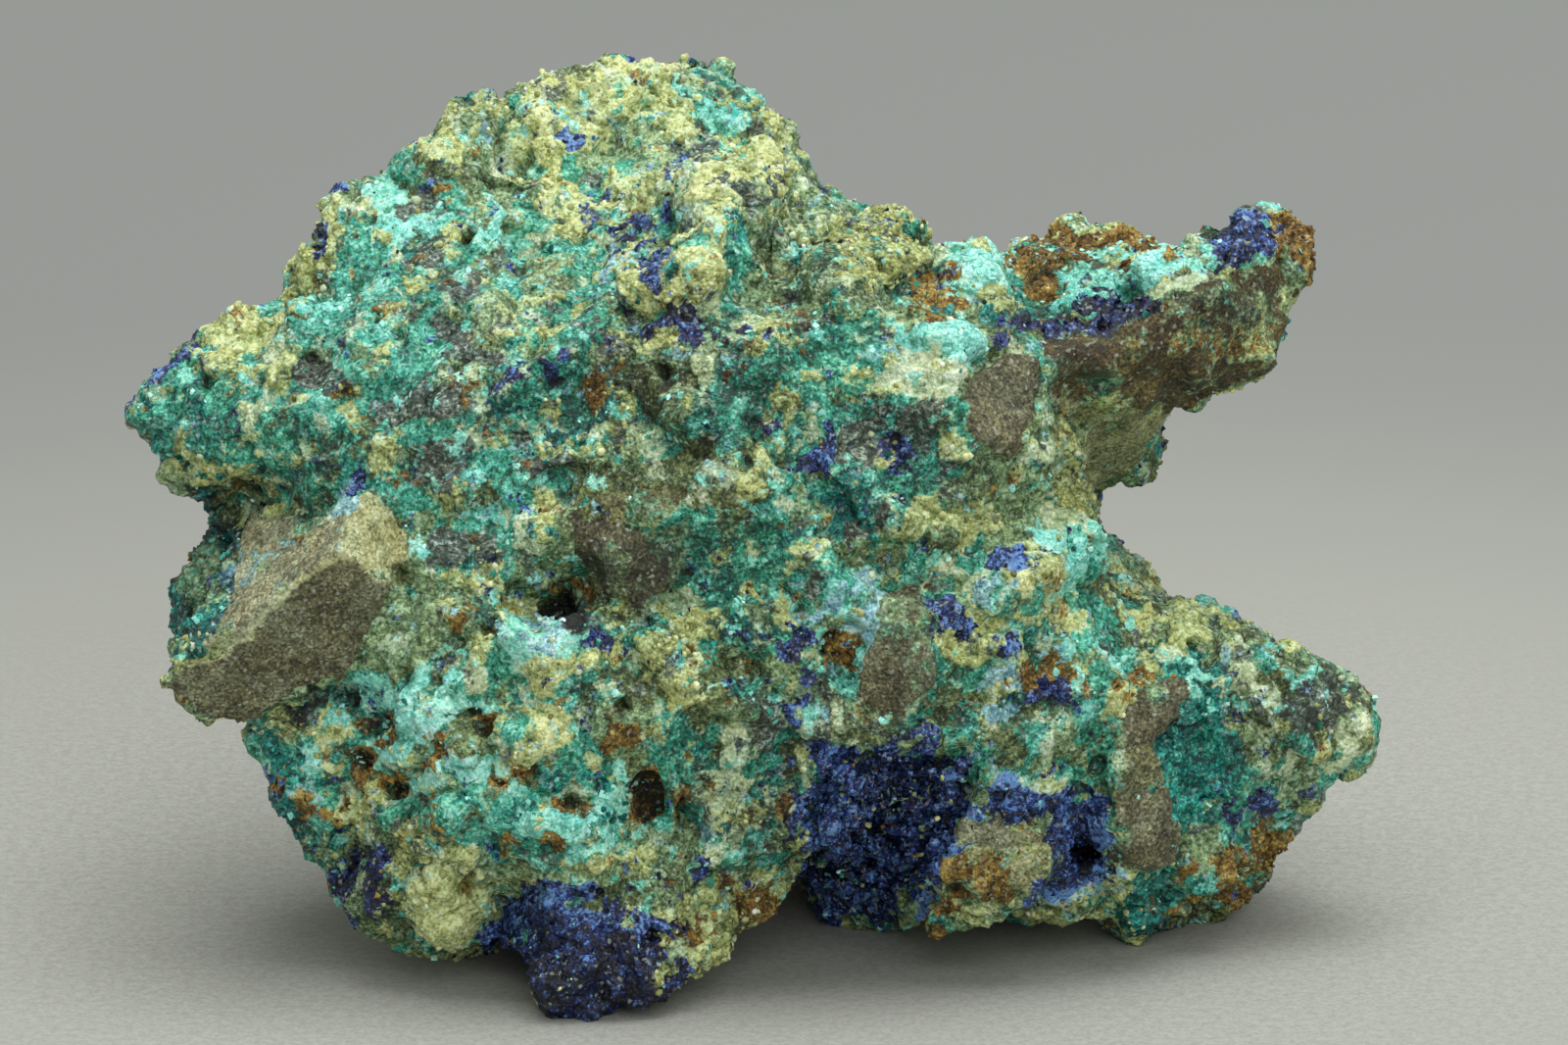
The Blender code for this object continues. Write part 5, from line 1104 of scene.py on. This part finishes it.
def make_floor():
    """A wide plain sheet with painted light: paler round the rock, greyer far off and a little lighter to the
    right.
    """
    mesh = bpy.data.meshes.new("floor")
    mesh.from_pydata([(x * FLOOR_HALF, y * FLOOR_HALF, 0) for x, y in ((-1, -1), (1, -1), (1, 1), (-1, 1))],
                     [], [(0, 1, 2, 3)])
    floor = bpy.data.objects.new("floor", mesh)
    bpy.context.scene.collection.objects.link(floor)
    g = Graph("floor")
    away = g.add("ShaderNodeVectorMath", {0: g.millimetres()}, operation="LENGTH").outputs["Value"]
    across = g.add("ShaderNodeSeparateXYZ", {0: g.millimetres()}).outputs["X"]
    # Painted light: paler round the rock, greyer far off.
    share = g.step(away, 45, 130)
    weave = g.total((g.noise(0.6, detail=3, roughness=0.7, shift=2.0), 1.0, 0.0),
                    (g.noise(0.22, detail=2, roughness=0.7, shift=8.0), 1.0, 0.5))
    colour = g.mix(share, FLOOR_NEAR, FLOOR_FAR)
    grain = g.blend(g.step(weave, 0.2, 0.8), 0.86, 1.12)
    colour = g.scale_colour(colour, g.blend(g.step(away, 32, 80), grain, 0.985))
    # Painted light: a little lighter to the right.
    colour = g.scale_colour(colour, g.blend(g.step(across, -60, 60), 1.03, 1.06))
    mesh.materials.append(g.shine(Base_Color=colour, Roughness=0.9, Specular_IOR_Level=0.1))


def light_up():
    for name, (power, size, place) in LAMPS.items():
        lamp = bpy.data.lights.new(name, "AREA")
        lamp.energy, lamp.shape, lamp.size = power, "SQUARE", size
        holder = bpy.data.objects.new(name, lamp)
        bpy.context.scene.collection.objects.link(holder)
        holder.location = place
        holder.rotation_euler = (Vector(LAMP_AIM) - Vector(place)).to_track_quat("-Z", "Y").to_euler()
    world = bpy.data.worlds.new("room")
    bpy.context.scene.world = world
    world.use_nodes = True
    background = world.node_tree.nodes["Background"].inputs
    background["Color"].default_value = ROOM_COLOUR
    background["Strength"].default_value = ROOM_STRENGTH
    bpy.context.scene.view_settings.view_transform = "Standard"


def make_camera():
    """Looks down 15 degrees, with the photograph's 80 mm across at the face."""
    camera = bpy.data.objects.new("camera", bpy.data.cameras.new("camera"))
    bpy.context.scene.collection.objects.link(camera)
    camera.location = np.array([-CENTRE_ACROSS,
                                MIDDLE_UP * LEAN_SIN - VIEW_DISTANCE * LEAN_COS - CENTRE_DEPTH,
                                MIDDLE_UP * LEAN_COS + VIEW_DISTANCE * LEAN_SIN - BASE_CUT]) * MM
    camera.rotation_euler = (math.pi / 2 - FACE_LEAN, 0, 0)
    camera.data.sensor_width = SENSOR
    camera.data.lens = SENSOR * VIEW_DISTANCE / (PHOTO_WIDTH * PIXEL)
    camera.data.clip_end = 100
    bpy.context.scene.camera = camera


def corners(box):
    return [list(corner) for corner in box]


make_camera()
make_floor()
light_up()
rock_quarters, rock_surface = make_rock()
breccia = breccia_material()
for quarter in rock_quarters:
    settle(quarter, breccia)
    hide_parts("matrix")
make_crumbs(rock_surface)
make_teal_crystals(rock_surface)
make_flakes(rock_surface)
make_rust_crumbs(rock_surface)
make_azurite(rock_surface)
